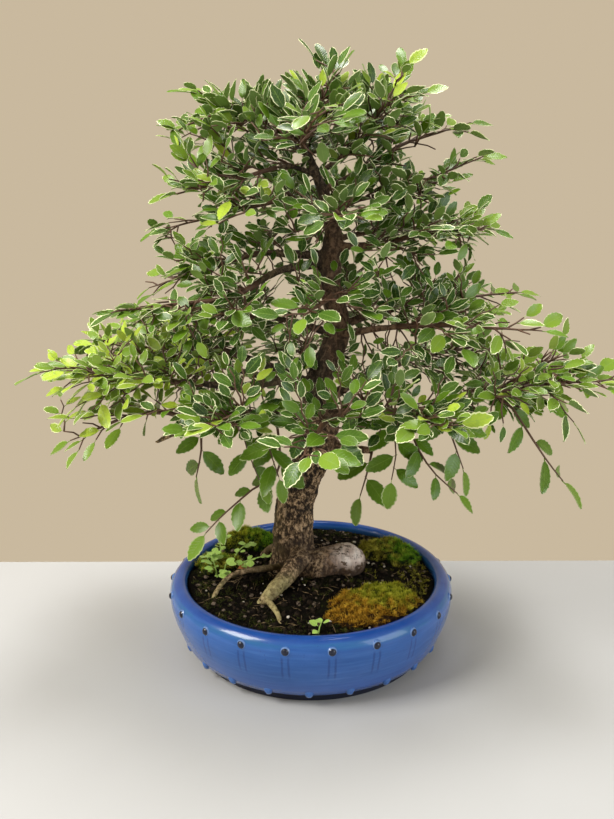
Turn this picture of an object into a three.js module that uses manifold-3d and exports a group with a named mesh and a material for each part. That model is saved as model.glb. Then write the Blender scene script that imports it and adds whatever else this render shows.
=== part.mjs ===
// A Chinese elm bonsai with cream-edged leaves, growing in a low round glazed pot.
// Millimetres, +Z up. Everything is placed round the pot's axis, with the foot of the pot on z = 0,
// and the last lines centre the box of the whole plant over the origin.
import * as THREE from "three";
import { mergeVertices } from "three/addons/utils/BufferGeometryUtils.js";
import Module from "manifold-3d";

const wasm = await Module();
wasm.setup();

// Clearance between neighbouring pieces, and the extra room that a leaf needs round it
const GAP = 0.3;
const LEAF_ROOM = 0.5;

// Pot: half its outline from the drainage hole out, up the outside and down the inside, as radius, height
const HOLE_RADIUS = 12;
const FLOOR_UNDERSIDE = 9;
const FLOOR_TOP = 16;
const FOOT = { inner: 97, outer: 107 };
const BODY_RADIUS = 129.5;
const RIM = { radius: 119.5, top: 66 };
const POT_OUTSIDE = [
  [108, FLOOR_UNDERSIDE],
  [116.5, 11.5],
  [123.5, 27],
  [128, 41],
  [BODY_RADIUS, 53],
  [127.5, 61],
  [RIM.radius, RIM.top],
];
const POT_INSIDE = [
  [114, 62],
  [114.5, 42],
  [104, FLOOR_TOP],
];
const POT_SIDES = 33;

// Studs under the rim and glaze drips at the lower edge, half a step apart round the pot
const STUDS = 22;
const STUD_STEP = 360 / STUDS;
const FIRST_STUD = -8.97;
const STUD = { radius: 3.6, height: 57, out: 128.2, proud: 3.4 };
const DRIP = { radius: 3.2, height: 12.5, out: 116.2, tall: 7 };

// Screen over the drainage hole: a square sheet with rows of square openings
const SCREEN = { side: 40, thick: 0.9, opening: 6, pitch: 9, perRow: 3 };

// Soil: its bottom stands over the screen, and its top is a low mound
const SOIL_BOTTOM = FLOOR_TOP + SCREEN.thick + 3 * GAP;
const SOIL_EDGE = 59;
const SOIL_RISE = 5;
const SOIL_SIDES = 24;
const SOIL_RINGS = [0, 42, 80];
const SOIL_MARGIN = 0.9;
const SOIL_HUMP = { high: 1.3, across: 11, along: 13 };
const SOIL_RIPPLE = { high: 0.7, across: 7, along: 9 };

// Wood: a limb's path in x, y, z, with its radius at the foot and at the tip.
// The trunk lists its radius at every point.
const TRUNK = [
  [-17, 13, 34, 24],
  [-17, 13, 60, 24],
  [-16, 14, 78, 20.5],
  [-16, 15, 104, 19],
  [-14, 15, 127, 17.8],
  [-7, 14, 148, 16.6],
  [1, 12, 169, 16.5],
  [8, 8, 189, 16.8],
  [10, 6, 208, 15.5],
  [6, 6, 234, 13],
  [14, 10, 259, 11.5],
  [24, 12, 282, 10.8],
  [24, 10, 300, 10.2],
  [18, 5, 325, 9],
  [18, 3, 352, 9.4],
  [20, 4, 370, 8],
  [17, 5, 388, 6.8],
  [9, 3, 410, 4.6],
  [2, 0, 428, 3.2],
  [-4, -2, 440, 2.4],
];
const ROOTS = [
  {
    path: [[-12, 6, 66], [6, 0, 70], [22, 5, 71], [36, 11, 69]],
    thick: [16.5, 15],
    sides: 8,
  },
  {
    path: [[34, 11, 64], [47, 6, 62], [57, -1, 53]],
    thick: [2.2, 1.2],
    sides: 5,
  },
  {
    path: [[-8, -6, 84], [-20, -32, 76], [-31, -45, 69], [-41, -54, 60], [-48, -58, 50]],
    thick: [9.5, 4.5],
    sides: 7,
  },
  {
    path: [[-40, -55, 66], [-33, -68, 65], [-27, -80, 62], [-24, -91, 54]],
    thick: [3.4, 2.2],
    sides: 6,
  },
  {
    path: [
      [-26, -2, 70], [-44, -18, 75], [-60, -25, 76], [-74, -32, 73], [-84, -46, 64],
      [-88, -56, 50],
    ],
    thick: [3.4, 2.2],
    sides: 6,
  },
  {
    path: [[-22, 20, 72], [-36, 34, 72], [-48, 46, 58]],
    thick: [6, 4],
    sides: 6,
  },
];

// Sides of the round limbs
const TRUNK_SIDES = 9;
const STUB_SIDES = 6;
const BRANCH_SIDES = 5;
const THIN_BRANCH = { below: 4, sides: 4 };

// Main branches. What lies before the split belongs to the trunk; the rest, and the young wood of
// the given length beyond its tip, is one leafy spray, whose side twigs reach the given length.
const BRANCHES = [
  {
    name: "low_left_upper",
    path: [
      [4, 6, 240], [-22, 4, 245], [-60, -14, 243], [-101, -30, 250], [-142, -42, 256],
      [-170, -47, 261],
    ],
    thick: [5.5, 1.4],
    split: 0.55,
    tip: 36,
    reach: 62,
  },
  {
    name: "low_left_outer",
    path: [[-96, -27, 214], [-120, -38, 226], [-148, -48, 226], [-172, -52, 217]],
    thick: [2.6, 1.2],
    split: 0.2,
    tip: 26,
    reach: 36,
  },
  {
    name: "low_left_back",
    path: [[5, 8, 238], [-38, 44, 250], [-88, 72, 262], [-130, 90, 268]],
    thick: [5.5, 1.5],
    split: 0.5,
    tip: 60,
    reach: 56,
  },
  {
    name: "low_left_middle",
    path: [[2, 8, 232], [-40, 20, 244], [-95, 22, 258], [-146, 14, 270]],
    thick: [4.5, 1.5],
    split: 0.5,
    tip: 48,
    reach: 50,
  },
  {
    name: "low_right",
    path: [
      [8, 4, 210], [35, -4, 216], [65, -14, 219], [97, -24, 224], [142, -34, 237],
      [176, -40, 257], [188, -42, 265],
    ],
    thick: [6.5, 1.4],
    split: 0.76,
    tip: 22,
    reach: 50,
  },
  {
    name: "low_right_outer",
    path: [[112, -27, 227], [148, -47, 244], [186, -57, 253], [219, -60, 256]],
    thick: [2.6, 1.2],
    split: 0.2,
    tip: 36,
    reach: 40,
  },
  {
    name: "low_right_lower",
    path: [[104, -25, 225], [140, -12, 238], [172, -8, 236]],
    thick: [2.4, 1.2],
    split: 0.25,
    tip: 36,
    reach: 36,
  },
  {
    name: "low_right_back",
    path: [[8, 10, 222], [50, 48, 238], [98, 78, 250], [142, 94, 256]],
    thick: [5.5, 1.5],
    split: 0.5,
    tip: 62,
    reach: 56,
  },
  {
    name: "front_low",
    path: [[10, 2, 214], [14, -42, 222], [10, -84, 228], [4, -112, 226]],
    thick: [5, 1.5],
    split: 0.45,
    tip: 44,
    reach: 44,
  },
  {
    name: "front_left",
    path: [[-35, -8, 215], [-50, -46, 226], [-62, -84, 232]],
    thick: [3.5, 1.4],
    split: 0.35,
    tip: 48,
    reach: 44,
  },
  {
    name: "front_right",
    path: [[60, -12, 218], [72, -50, 228], [86, -86, 232]],
    thick: [3.5, 1.4],
    split: 0.35,
    tip: 48,
    reach: 44,
  },
  {
    name: "back_low",
    path: [[8, 14, 228], [6, 60, 244], [0, 106, 252]],
    thick: [5, 1.5],
    split: 0.45,
    tip: 60,
    reach: 56,
  },
  {
    name: "middle_right",
    path: [[24, 11, 290], [46, 18, 298], [71, 22, 307], [107, 26, 312], [142, 30, 315]],
    thick: [4.5, 1.4],
    split: 0.5,
    tip: 42,
    reach: 44,
  },
  {
    name: "middle_right_front",
    path: [[24, 9, 284], [58, -24, 294], [98, -50, 300], [134, -64, 300]],
    thick: [4, 1.4],
    split: 0.45,
    tip: 48,
    reach: 42,
  },
  {
    name: "middle_left_back",
    path: [[22, 12, 284], [-22, 34, 294], [-70, 52, 298], [-108, 60, 296]],
    thick: [4, 1.4],
    split: 0.45,
    tip: 56,
    reach: 48,
  },
  {
    name: "middle_left",
    path: [[16, 6, 346], [-25, -12, 341], [-61, -34, 322], [-100, -42, 317]],
    thick: [4.5, 1.4],
    split: 0.5,
    tip: 56,
    reach: 46,
  },
  {
    name: "middle_front",
    path: [[20, 4, 318], [18, -36, 322], [6, -76, 318]],
    thick: [3.6, 1.4],
    split: 0.4,
    tip: 40,
    reach: 40,
  },
  {
    name: "middle_back",
    path: [[22, 12, 300], [30, 54, 314], [26, 96, 316]],
    thick: [3.6, 1.4],
    split: 0.4,
    tip: 50,
    reach: 46,
  },
  {
    name: "high_right",
    path: [[20, 4, 360], [46, -8, 361], [70, -16, 365], [97, -24, 373], [118, -30, 374]],
    thick: [4, 1.3],
    split: 0.5,
    tip: 28,
    reach: 40,
  },
  {
    name: "high_right_back",
    path: [[20, 6, 366], [60, 40, 372], [94, 58, 371]],
    thick: [3.5, 1.3],
    split: 0.45,
    tip: 32,
    reach: 42,
  },
  {
    name: "high_left",
    path: [[18, 4, 352], [-21, 10, 354], [-45, 18, 354], [-74, 24, 346], [-102, 28, 337]],
    thick: [4.5, 1.3],
    split: 0.5,
    tip: 44,
    reach: 44,
  },
  {
    name: "high_front",
    path: [[18, 4, 378], [26, -36, 384], [24, -68, 384]],
    thick: [3, 1.3],
    split: 0.4,
    tip: 36,
    reach: 36,
  },
  {
    name: "high_back",
    path: [[18, 6, 380], [8, 48, 390], [-6, 80, 392]],
    thick: [3, 1.3],
    split: 0.4,
    tip: 42,
    reach: 42,
  },
  {
    name: "top_right",
    path: [[16, 5, 388], [41, 14, 398], [76, 14, 406], [110, 8, 419]],
    thick: [3.2, 1.2],
    split: 0.45,
    tip: 36,
    reach: 38,
  },
  {
    name: "top_left",
    path: [[16, 5, 388], [-17, 16, 398], [-41, 22, 395], [-80, 27, 386]],
    thick: [3.5, 1.3],
    split: 0.45,
    tip: 54,
    reach: 42,
  },
  {
    name: "crown_left",
    path: [[6, 2, 418], [-20, -8, 424], [-55, -22, 414], [-80, -27, 408]],
    thick: [2.8, 1.2],
    split: 0.4,
    tip: 26,
    reach: 38,
  },
  {
    name: "crown_upper_left",
    path: [[0, -1, 432], [-18, 5, 444], [-46, 8, 460], [-72, 8, 472]],
    thick: [2.4, 1.2],
    split: 0.35,
    tip: 27,
    reach: 38,
  },
  {
    name: "crown_top",
    path: [[-4, -2, 438], [-2, -2, 452], [6, -1, 468]],
    thick: [2.3, 1.3],
    split: 0.3,
    tip: 32,
    reach: 34,
  },
  {
    name: "crown_upper_right",
    path: [[6, 1, 418], [26, -4, 432], [46, -8, 450], [58, -10, 468]],
    thick: [2.6, 1.2],
    split: 0.4,
    tip: 34,
    reach: 36,
  },
  {
    name: "crown_right",
    path: [[12, 4, 406], [50, 12, 426], [76, 15, 442], [100, 17, 450]],
    thick: [2.8, 1.2],
    split: 0.4,
    tip: 40,
    reach: 36,
  },
  {
    name: "crown_back",
    path: [[0, 0, 430], [-12, 34, 444], [-20, 60, 452]],
    thick: [2.3, 1.2],
    split: 0.35,
    tip: 36,
    reach: 38,
  },
  {
    name: "crown_front",
    path: [[2, 0, 428], [-6, -30, 440], [0, -54, 448]],
    thick: [2.3, 1.2],
    split: 0.35,
    tip: 34,
    reach: 34,
  },
];

// Bare stubs: pruned branches that carry no twig of their own
const STUBS = [
  {
    path: [
      [6, 2, 210], [-31, -5, 215], [-73, -20, 217], [-94, -26, 214], [-118, -30, 205],
      [-132, -32, 198],
    ],
    thick: [8, 1.8],
  },
  {
    path: [[12, 7, 184], [38, -4, 184], [54, -16, 186]],
    thick: [4.5, 3.4],
  },
];

// Long young shoots that hang from a branch, with single leaves along them
const SHOOT_INTERNODE = 13;
const SHOOTS = [
  {
    name: "right_long",
    path: [[150, -36, 240], [163, -52, 234], [176, -62, 214], [191, -68, 192], [204, -70, 176]],
    thick: [1.3, 0.8],
    spacing: SHOOT_INTERNODE,
  },
  {
    name: "right_middle",
    path: [[112, -28, 228], [116, -48, 210], [126, -56, 182]],
    thick: [1.3, 0.8],
    spacing: SHOOT_INTERNODE,
  },
  {
    name: "right_inner",
    path: [[84, -20, 222], [86, -50, 204], [100, -62, 182], [120, -66, 164]],
    thick: [1.3, 0.8],
    spacing: SHOOT_INTERNODE,
  },
  {
    name: "right_stub",
    path: [[54, -16, 186], [50, -26, 172], [43, -32, 150]],
    thick: [1.3, 0.8],
    spacing: SHOOT_INTERNODE,
  },
  {
    name: "left_knob",
    path: [[-94, -26, 214], [-92, -38, 194], [-97, -40, 170]],
    thick: [1.3, 0.8],
    spacing: SHOOT_INTERNODE,
  },
  {
    name: "left_long",
    path: [[-30, -6, 214], [-27, -20, 170], [-50, -32, 156], [-75, -44, 137], [-89, -52, 124]],
    thick: [1.3, 0.8],
    spacing: SHOOT_INTERNODE,
  },
];

// How twigs and leaves grow
const INTERNODE = 9;
const ZIGZAG = 1.1;
const TWIG_RADIUS = 1;
const TWIG_TIP_RADIUS = 0.7;
const TWIG_ANGLE = 0.87;
const TWIG_TAPER = 0.7;
const TWIG_SAG = 0.12;
const TWIG_SIZE = [0.7, 1.15];
const TWIG_LEAN = [0.75, 1.2];
const TWIG_LIFT = [-0.25, 0.5];
const LEAF_ANGLE = 0.85;
const LEAF_LEAN = [0.75, 1.25];
const LEAF_PITCH = [-0.5, 0.2];
const LEAF_ROLL = [-0.6, 0.6];
const LEAF_DROOP = [0, 0.25];
const LEAF_SIZE = [0.72, 1.2];
const LEAF_BREADTH = [0.9, 1.12];
const LEAF_LONG_LOW = 21;
const LEAF_LONG_HIGH = 17.5;
const LEAF_WIDE = 0.54;
const LEAF_THICK = 1.1;
const LEAF_FOLD = 0.16;
const PETIOLE = 2.4;
const NECK = 0.8;
const CROWN_LOW = 200;
const CROWN_HIGH = 500;
const CURVE_STEPS = 24;
const FIRST_SEED = 1000;
const SEED_STEP = 17;
const UPWARDS = new THREE.Vector3(0, -0.25, 1).normalize();

// Half the leaf's edge from stalk to tip: distance along it and half-width, as shares, with two teeth
const LEAF_EDGE = [
  [0.14, 0.55],
  [0.4, 1],
  [0.45, 0.82],
  [0.74, 0.64],
];
const LEAF_MIDDLE = 0.42;

// Which of the twigs and leaves the solid model carries: every few, at their true size
const STEM_EVERY = 3;
const TWIG_EVERY = 7;
const TWIG_FIRST = 3;

// Moss cushions on the soil: middle, half-widths, height above the soil
const MOSS = [
  { name: "moss_front_right", at: [60, -68], wide: [46, 36], high: 10 },
  { name: "moss_right_back", at: [80, 46], wide: [32, 30], high: 9 },
  { name: "moss_left_back", at: [-66, 68], wide: [32, 20], high: 15 },
  { name: "moss_left", at: [-88, 18], wide: [20, 18], high: 8 },
];

// How far moss reaches from the pot's axis, and how deep its middle sits in the soil's edge height
const MOSS_REACH = 112.5;
const MOSS_SEAT = 2;
const MOSS_LOBES = [
  { count: 3, deep: 0.1 },
  { count: 5, deep: 0.06 },
];

// Seedling: its stem, and the number of its leaves with the turn between them and their size
const SEEDLING = {
  path: [[-86, -2, 50], [-88, -4, 68], [-92, -2, 82]],
  thick: [1, 0.8],
  sides: 5,
  leaves: 4,
  turn: 1.7,
  rise: 0.5,
  stalk: 4,
  leafLong: 12,
  leafWide: 0.9,
  seed: 5,
};

// Repeatable random numbers from 0 to 1
function seeded(seed) {
  let state = seed >>> 0;
  return () => {
    state = (state + 0x6d2b79f5) >>> 0;
    let mixed = Math.imul(state ^ (state >>> 15), 1 | state);
    mixed = (mixed + Math.imul(mixed ^ (mixed >>> 7), 61 | mixed)) ^ mixed;
    return ((mixed ^ (mixed >>> 14)) >>> 0) / 4294967296;
  };
}

const vector = ([x, y, z]) => new THREE.Vector3(x, y, z);
const mixOf = (a, b, t) => a + (b - a) * t;
const within = ([low, high], share) => mixOf(low, high, share);

// Solids from closed geometry, and back
function solidOf(geometry) {
  const bare = geometry.clone();
  bare.deleteAttribute("normal");
  bare.deleteAttribute("uv");
  const merged = mergeVertices(bare, 1e-4);
  const mesh = new wasm.Mesh({
    numProp: 3,
    vertProperties: merged.attributes.position.array,
    triVerts: new Uint32Array(merged.index.array),
  });
  return new wasm.Manifold(mesh);
}

function geometryOf(solid) {
  const mesh = solid.getMesh();
  const geometry = new THREE.BufferGeometry();
  geometry.setAttribute("position", new THREE.BufferAttribute(mesh.vertProperties, 3));
  geometry.setIndex(new THREE.BufferAttribute(mesh.triVerts, 1));
  geometry.computeVertexNormals();
  return geometry;
}

const joined = (solids) => solids.reduce((whole, next) => whole.add(next));

// The one body that counts, without loose scraps
function mainBody(solid) {
  const bodies = solid.decompose();
  return bodies.reduce((best, body) => (body.volume() > best.volume() ? body : best));
}

// A round limb along a row of points: a cylinder bent along them, with a radius at each point
function limb(points, radii, sides, extra = 0) {
  const steps = points.length - 1;
  const along = points.map((point, i) =>
    points[Math.min(i + 1, steps)].clone().sub(points[Math.max(i - 1, 0)]).normalize());
  const ends = points.map((point) => point.clone());
  ends[0].addScaledVector(along[0], -extra);
  ends[steps].addScaledVector(along[steps], extra);
  const across = new THREE.Vector3(1, 0.2, 0.1).cross(along[0]).normalize();
  const acrosses = along.map((tangent) => {
    across.addScaledVector(tangent, -across.dot(tangent)).normalize();
    return across.clone();
  });
  const geometry = new THREE.CylinderGeometry(1, 1, 1, sides, steps);
  const position = geometry.attributes.position;
  for (let i = 0; i < position.count; i++) {
    const ring = Math.round((position.getY(i) + 0.5) * steps);
    const radius = radii[ring] + extra;
    const third = acrosses[ring].clone().cross(along[ring]);
    const place = ends[ring].clone();
    place.addScaledVector(acrosses[ring], position.getX(i) * radius);
    place.addScaledVector(third, position.getZ(i) * radius);
    position.setXYZ(i, place.x, place.y, place.z);
  }
  return solidOf(geometry);
}

// Points and radii of a branch between two shares of its path
function stretch(branch, from, to, steps) {
  const curve = new THREE.CatmullRomCurve3(branch.path.map(vector), false, "catmullrom");
  const shares = Array.from({ length: steps + 1 }, (_, i) => mixOf(from, to, i / steps));
  return {
    points: shares.map((share) => curve.getPoint(share)),
    radii: shares.map((share) => mixOf(branch.thick[0], branch.thick[1], share)),
  };
}

// The trunk, the roots and the inner part of every branch, each a little fatter by extra
function woodPieces(extra) {
  const trunk = limb(TRUNK.map(vector), TRUNK.map((row) => row[3]), TRUNK_SIDES, extra);
  const roots = ROOTS.map((root) => {
    const { points, radii } = stretch(root, 0, 1, root.path.length);
    return limb(points, radii, root.sides, extra);
  });
  const stubs = STUBS.map((stub) => {
    const { points, radii } = stretch(stub, 0, 1, stub.path.length);
    return limb(points, radii, STUB_SIDES, extra);
  });
  const inner = BRANCHES.map((branch) => {
    const { points, radii } = stretch(branch, 0, branch.split, 2);
    const sides = branch.thick[0] < THIN_BRANCH.below ? THIN_BRANCH.sides : BRANCH_SIDES;
    return limb(points, radii, sides, extra);
  });
  return [trunk, ...roots, ...stubs, ...inner];
}

// The toothed rim of a leaf, from one side of its stalk round the tip to the other, and the two hubs
// on its rib, above and below. The blade is folded up along the rib and droops towards its tip.
function leafShape(leaf, room = 0) {
  const half = (leaf.long * leaf.wide) / 2 + room;
  const long = leaf.long + 2 * room;
  const side = leaf.up.clone().cross(leaf.along);
  const place = (share, y, z) => {
    const x = share * long;
    const rise = LEAF_FOLD * Math.abs(y) - leaf.droop * share * x + z;
    const point = leaf.base.clone().addScaledVector(leaf.along, x + PETIOLE - room);
    return point.addScaledVector(side, y).addScaledVector(leaf.up, rise);
  };
  const there = LEAF_EDGE.map(([share, width]) => place(share, -width * half, 0));
  const back = [...LEAF_EDGE].reverse().map(([share, width]) => place(share, width * half, 0));
  const lift = LEAF_THICK / 2 + room;
  return {
    rim: [...there, place(1, 0, 0), ...back],
    hub: [place(LEAF_MIDDLE, 0, lift), place(LEAF_MIDDLE, 0, -lift)],
  };
}

// A closed skin over a rim that runs round a tree of hubs. Each step adds a corner to the rim, or moves
// on to the next hub; every hub is a pair of points, above and below the rim.
function skinSolid(steps, hubs) {
  const corners = steps.filter((step) => step.corner).map((step) => step.corner);
  const above = (hub) => corners.length + 2 * hub;
  const faces = [];
  let hub = steps[0].hub;
  let corner = 0;
  for (const step of [...steps.slice(2), { corner: corners[0] }]) {
    if (step.corner) {
      const next = (corner + 1) % corners.length;
      faces.push(corner, next, above(hub), next, corner, above(hub) + 1);
      corner = next;
    } else {
      faces.push(corner, above(step.hub), above(hub), corner, above(hub) + 1, above(step.hub) + 1);
      hub = step.hub;
    }
  }
  const points = [...corners, ...hubs.flat()];
  const geometry = new THREE.BufferGeometry();
  const numbers = points.flatMap((point) => point.toArray());
  geometry.setAttribute("position", new THREE.Float32BufferAttribute(numbers, 3));
  geometry.setIndex(faces);
  return solidOf(geometry);
}

// A leaf's blade alone, with room round it, to see what it would touch
function bladeSolid(leaf, room) {
  const { rim, hub } = leafShape(leaf, room);
  const start = leaf.base.clone().addScaledVector(leaf.along, PETIOLE / 2);
  return skinSolid([{ hub: 0 }, { corner: start }, ...rim.map((corner) => ({ corner }))], [hub]);
}

// A twig with its leaves as one closed skin: out along one side, round the leaves there and the leaf
// at its end, and back along the other side
function twigSolid(points, radii, leaves) {
  const last = points.length - 1;
  const hubs = [];
  const frames = points.map((point, k) => {
    const heading = points[Math.min(k + 1, last)].clone().sub(points[Math.max(k - 1, 0)]).normalize();
    const side = heading.clone().cross(UPWARDS).normalize();
    const up = side.clone().cross(heading);
    hubs.push([point.clone().addScaledVector(up, radii[k]), point.clone().addScaledVector(up, -radii[k])]);
    return { point, heading, side, radius: radii[k] };
  });
  const beside = (k, turn, ahead) => {
    const { point, heading, side, radius } = frames[k];
    return point.clone().addScaledVector(side, turn * radius).addScaledVector(heading, ahead);
  };
  const leafSteps = (leaf, k, from, to) => {
    const { rim, hub } = leafShape(leaf);
    hubs.push(hub);
    return [
      { corner: from },
      { hub: hubs.length - 1 },
      ...rim.map((corner) => ({ corner })),
      { corner: to },
      { hub: k },
    ];
  };
  const sideSteps = (k, turn) => {
    const leaf = leaves.find((one) => one.node === k && one.turn === turn);
    const bare = !leaves.some((one) => one.node === k);
    if (!leaf) return bare ? [{ corner: beside(k, turn, 0) }] : [];
    return leafSteps(leaf, k, beside(k, turn, -turn * NECK), beside(k, turn, turn * NECK));
  };
  const steps = [{ hub: 0 }, { corner: beside(0, 1, 0) }];
  for (let k = 1; k < last; k++) steps.push({ hub: k }, ...sideSteps(k, 1));
  steps.push({ hub: last });
  const end = leaves.find((one) => one.node === last);
  if (end) steps.push(...leafSteps(end, last, beside(last, 1, 0), beside(last, -1, 0)));
  else steps.push({ corner: beside(last, 1, 0) }, { corner: beside(last, -1, 0) });
  for (let k = last - 1; k > 0; k--) steps.push({ hub: k }, ...sideSteps(k, -1));
  steps.push({ hub: 0 }, { corner: beside(0, -1, 0) });
  return skinSolid(steps, hubs);
}

// One leaf on a twig, leaning off to one side (-1 or 1), or straight on from its end (0)
function leafAt(base, heading, side, turn, random) {
  const [size, angle, roll, pitch] = [random(), random(), random(), random()];
  const up = side.clone().cross(heading).normalize();
  const lean = turn * LEAF_ANGLE * within(LEAF_LEAN, angle);
  const along = heading.clone().multiplyScalar(Math.cos(lean));
  along.addScaledVector(side, Math.sin(lean)).addScaledVector(up, within(LEAF_PITCH, pitch)).normalize();
  up.addScaledVector(along, -up.dot(along)).normalize();
  up.applyAxisAngle(along, within(LEAF_ROLL, roll));
  const height = THREE.MathUtils.clamp((base.z - CROWN_LOW) / (CROWN_HIGH - CROWN_LOW), 0, 1);
  const long = mixOf(LEAF_LONG_LOW, LEAF_LONG_HIGH, height) * within(LEAF_SIZE, size);
  const wide = LEAF_WIDE * within(LEAF_BREADTH, roll);
  return { base, turn, along, up, long, wide, droop: within(LEAF_DROOP, pitch) };
}

// A twig from a point: its zig-zag nodes, with a leaf at each and one at its end
function growTwig(start, heading, length, random) {
  const count = Math.max(1, Math.floor(length / INTERNODE + 0.5));
  const side = heading.clone().cross(UPWARDS).normalize();
  const points = [start.clone()];
  for (let k = 1; k <= count; k++) {
    const far = k * INTERNODE;
    const point = start.clone().addScaledVector(heading, far);
    point.addScaledVector(side, k % 2 ? ZIGZAG : -ZIGZAG);
    point.z -= (TWIG_SAG * far * far) / (count * INTERNODE);
    points.push(point);
  }
  const leaves = [];
  for (let k = 1; k <= count; k++) {
    const turn = k === count ? 0 : k % 2 ? 1 : -1;
    leaves.push({ ...leafAt(points[k], heading, side, turn, random), node: k });
  }
  return { points, leaves };
}

// The stem of a spray: its nodes along the outer branch, then along the young wood beyond its tip
function stemOf(branch) {
  const from = branch.split ?? 0;
  const curve = new THREE.CatmullRomCurve3(branch.path.map(vector), false, "catmullrom");
  const along = (steps) =>
    Array.from({ length: steps + 1 }, (_, i) => curve.getPoint(mixOf(from, 1, i / steps)));
  const rough = along(CURVE_STEPS);
  const length = rough.slice(1).reduce((sum, point, i) => sum + point.distanceTo(rough[i]), 0);
  const spacing = branch.spacing ?? INTERNODE;
  const inner = Math.max(1, Math.floor(length / spacing + 0.5));
  const nodes = along(inner);
  const end = nodes[inner];
  const heading = end.clone().sub(nodes[inner - 1]).normalize();
  const side = heading.clone().cross(UPWARDS).normalize();
  const outer = Math.floor((branch.tip ?? 0) / INTERNODE + 0.5);
  for (let k = 1; k <= outer; k++) {
    const point = end.clone().addScaledVector(heading, k * INTERNODE);
    point.addScaledVector(side, k % 2 ? ZIGZAG : 0);
    nodes.push(point);
  }
  return nodes;
}

// A leafy spray: its stem, and at each node a side twig, or one leaf where the twig would be short
function growSpray(branch, seed) {
  const random = seeded(seed);
  const nodes = stemOf(branch);
  const last = nodes.length - 1;
  const spray = { nodes, twigs: [], leaves: [] };
  for (let i = 1; i <= last; i++) {
    const heading = nodes[Math.min(i + 1, last)].clone().sub(nodes[i - 1]).normalize();
    const side = heading.clone().cross(UPWARDS).normalize();
    const up = side.clone().cross(heading);
    const turn = i === last ? 0 : i % 2 ? 1 : -1;
    const [size, angle, lift] = [random(), random(), random()];
    const length = (branch.reach ?? 0) * (1 - (TWIG_TAPER * i) / last) * within(TWIG_SIZE, size);
    if (length < INTERNODE || i === last) {
      spray.leaves.push({ ...leafAt(nodes[i], heading, side, turn, random), node: i });
      continue;
    }
    const lean = turn * TWIG_ANGLE * within(TWIG_LEAN, angle);
    const way = heading.clone().multiplyScalar(Math.cos(lean)).addScaledVector(side, Math.sin(lean));
    way.addScaledVector(up, within(TWIG_LIFT, lift)).normalize();
    spray.twigs.push({ ...growTwig(nodes[i], way, length, random), node: i });
  }
  return spray;
}

// Pieces already placed, so that a new one of another node can keep clear of them
const placed = [];

function boxesMeet(a, b) {
  return [0, 1, 2].every((k) => a.min[k] <= b.max[k] && b.min[k] <= a.max[k]);
}

function place(solid, owner, isLeaf = false) {
  placed.push({ solid, owner, isLeaf, box: solid.boundingBox() });
}

// Whether a piece, given with some room round it, would touch a placed piece
function touches(roomy, isRival) {
  const box = roomy.boundingBox();
  return placed.some((other) =>
    isRival(other) && boxesMeet(box, other.box) && roomy.intersect(other.solid).volume() > 0);
}

const group = new THREE.Group();

function addPiece(name, solid, colour, roughness) {
  const material = new THREE.MeshStandardMaterial({ color: colour, roughness, metalness: 0 });
  const mesh = new THREE.Mesh(geometryOf(solid), material);
  mesh.name = name;
  group.add(mesh);
}

// Turned solids: a closed outline of radius and height, spun round the Z axis
function turned(outline, sides) {
  const points = outline.map(([radius, height]) => new THREE.Vector2(radius, height));
  const geometry = new THREE.LatheGeometry(points, sides);
  return solidOf(geometry.rotateX(Math.PI / 2));
}

function potSolid() {
  const outline = [
    [HOLE_RADIUS, FLOOR_UNDERSIDE],
    [FOOT.inner, FLOOR_UNDERSIDE],
    [FOOT.inner, 0],
    [FOOT.outer, 0],
    ...POT_OUTSIDE,
    ...POT_INSIDE,
    [HOLE_RADIUS, FLOOR_TOP],
    [HOLE_RADIUS, FLOOR_UNDERSIDE],
  ];
  let pot = turned(outline, POT_SIDES);
  for (let i = 0; i < STUDS; i++) {
    const stud = new THREE.SphereGeometry(1, 5, 3).rotateZ(-Math.PI / 2);
    stud.scale(STUD.proud, STUD.radius, STUD.radius).translate(STUD.out, 0, STUD.height);
    stud.rotateZ(THREE.MathUtils.degToRad(FIRST_STUD + i * STUD_STEP - 90));
    pot = pot.add(solidOf(stud));
    const drip = new THREE.ConeGeometry(DRIP.radius, DRIP.tall, 4).rotateX(-Math.PI / 2);
    drip.translate(DRIP.out, 0, DRIP.height);
    drip.rotateZ(THREE.MathUtils.degToRad(FIRST_STUD + (i + 0.5) * STUD_STEP - 90));
    pot = pot.add(solidOf(drip));
  }
  return pot;
}

// A square of plastic mesh over the drainage hole
function screenSolid() {
  const height = FLOOR_TOP + GAP + SCREEN.thick / 2;
  const sheet = new THREE.BoxGeometry(SCREEN.side, SCREEN.side, SCREEN.thick).translate(0, 0, height);
  const middle = (SCREEN.perRow - 1) / 2;
  let screen = solidOf(sheet);
  for (let row = 0; row < SCREEN.perRow; row++) {
    for (let column = 0; column < SCREEN.perRow; column++) {
      const opening = new THREE.BoxGeometry(SCREEN.opening, SCREEN.opening, 3 * SCREEN.thick);
      opening.translate((column - middle) * SCREEN.pitch, (row - middle) * SCREEN.pitch, height);
      screen = screen.subtract(solidOf(opening));
    }
  }
  return screen;
}

// The soil's surface: a mound with soft humps
function soilHeight(x, y) {
  const radius = Math.hypot(x, y) / POT_INSIDE[0][0];
  const hump = SOIL_HUMP.high * Math.sin(x / SOIL_HUMP.across) * Math.cos(y / SOIL_HUMP.along);
  const ripple = SOIL_RIPPLE.high * Math.sin(x / SOIL_RIPPLE.across + y / SOIL_RIPPLE.along);
  return SOIL_EDGE + SOIL_RISE * (1 - radius * radius) + hump + ripple;
}

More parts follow.
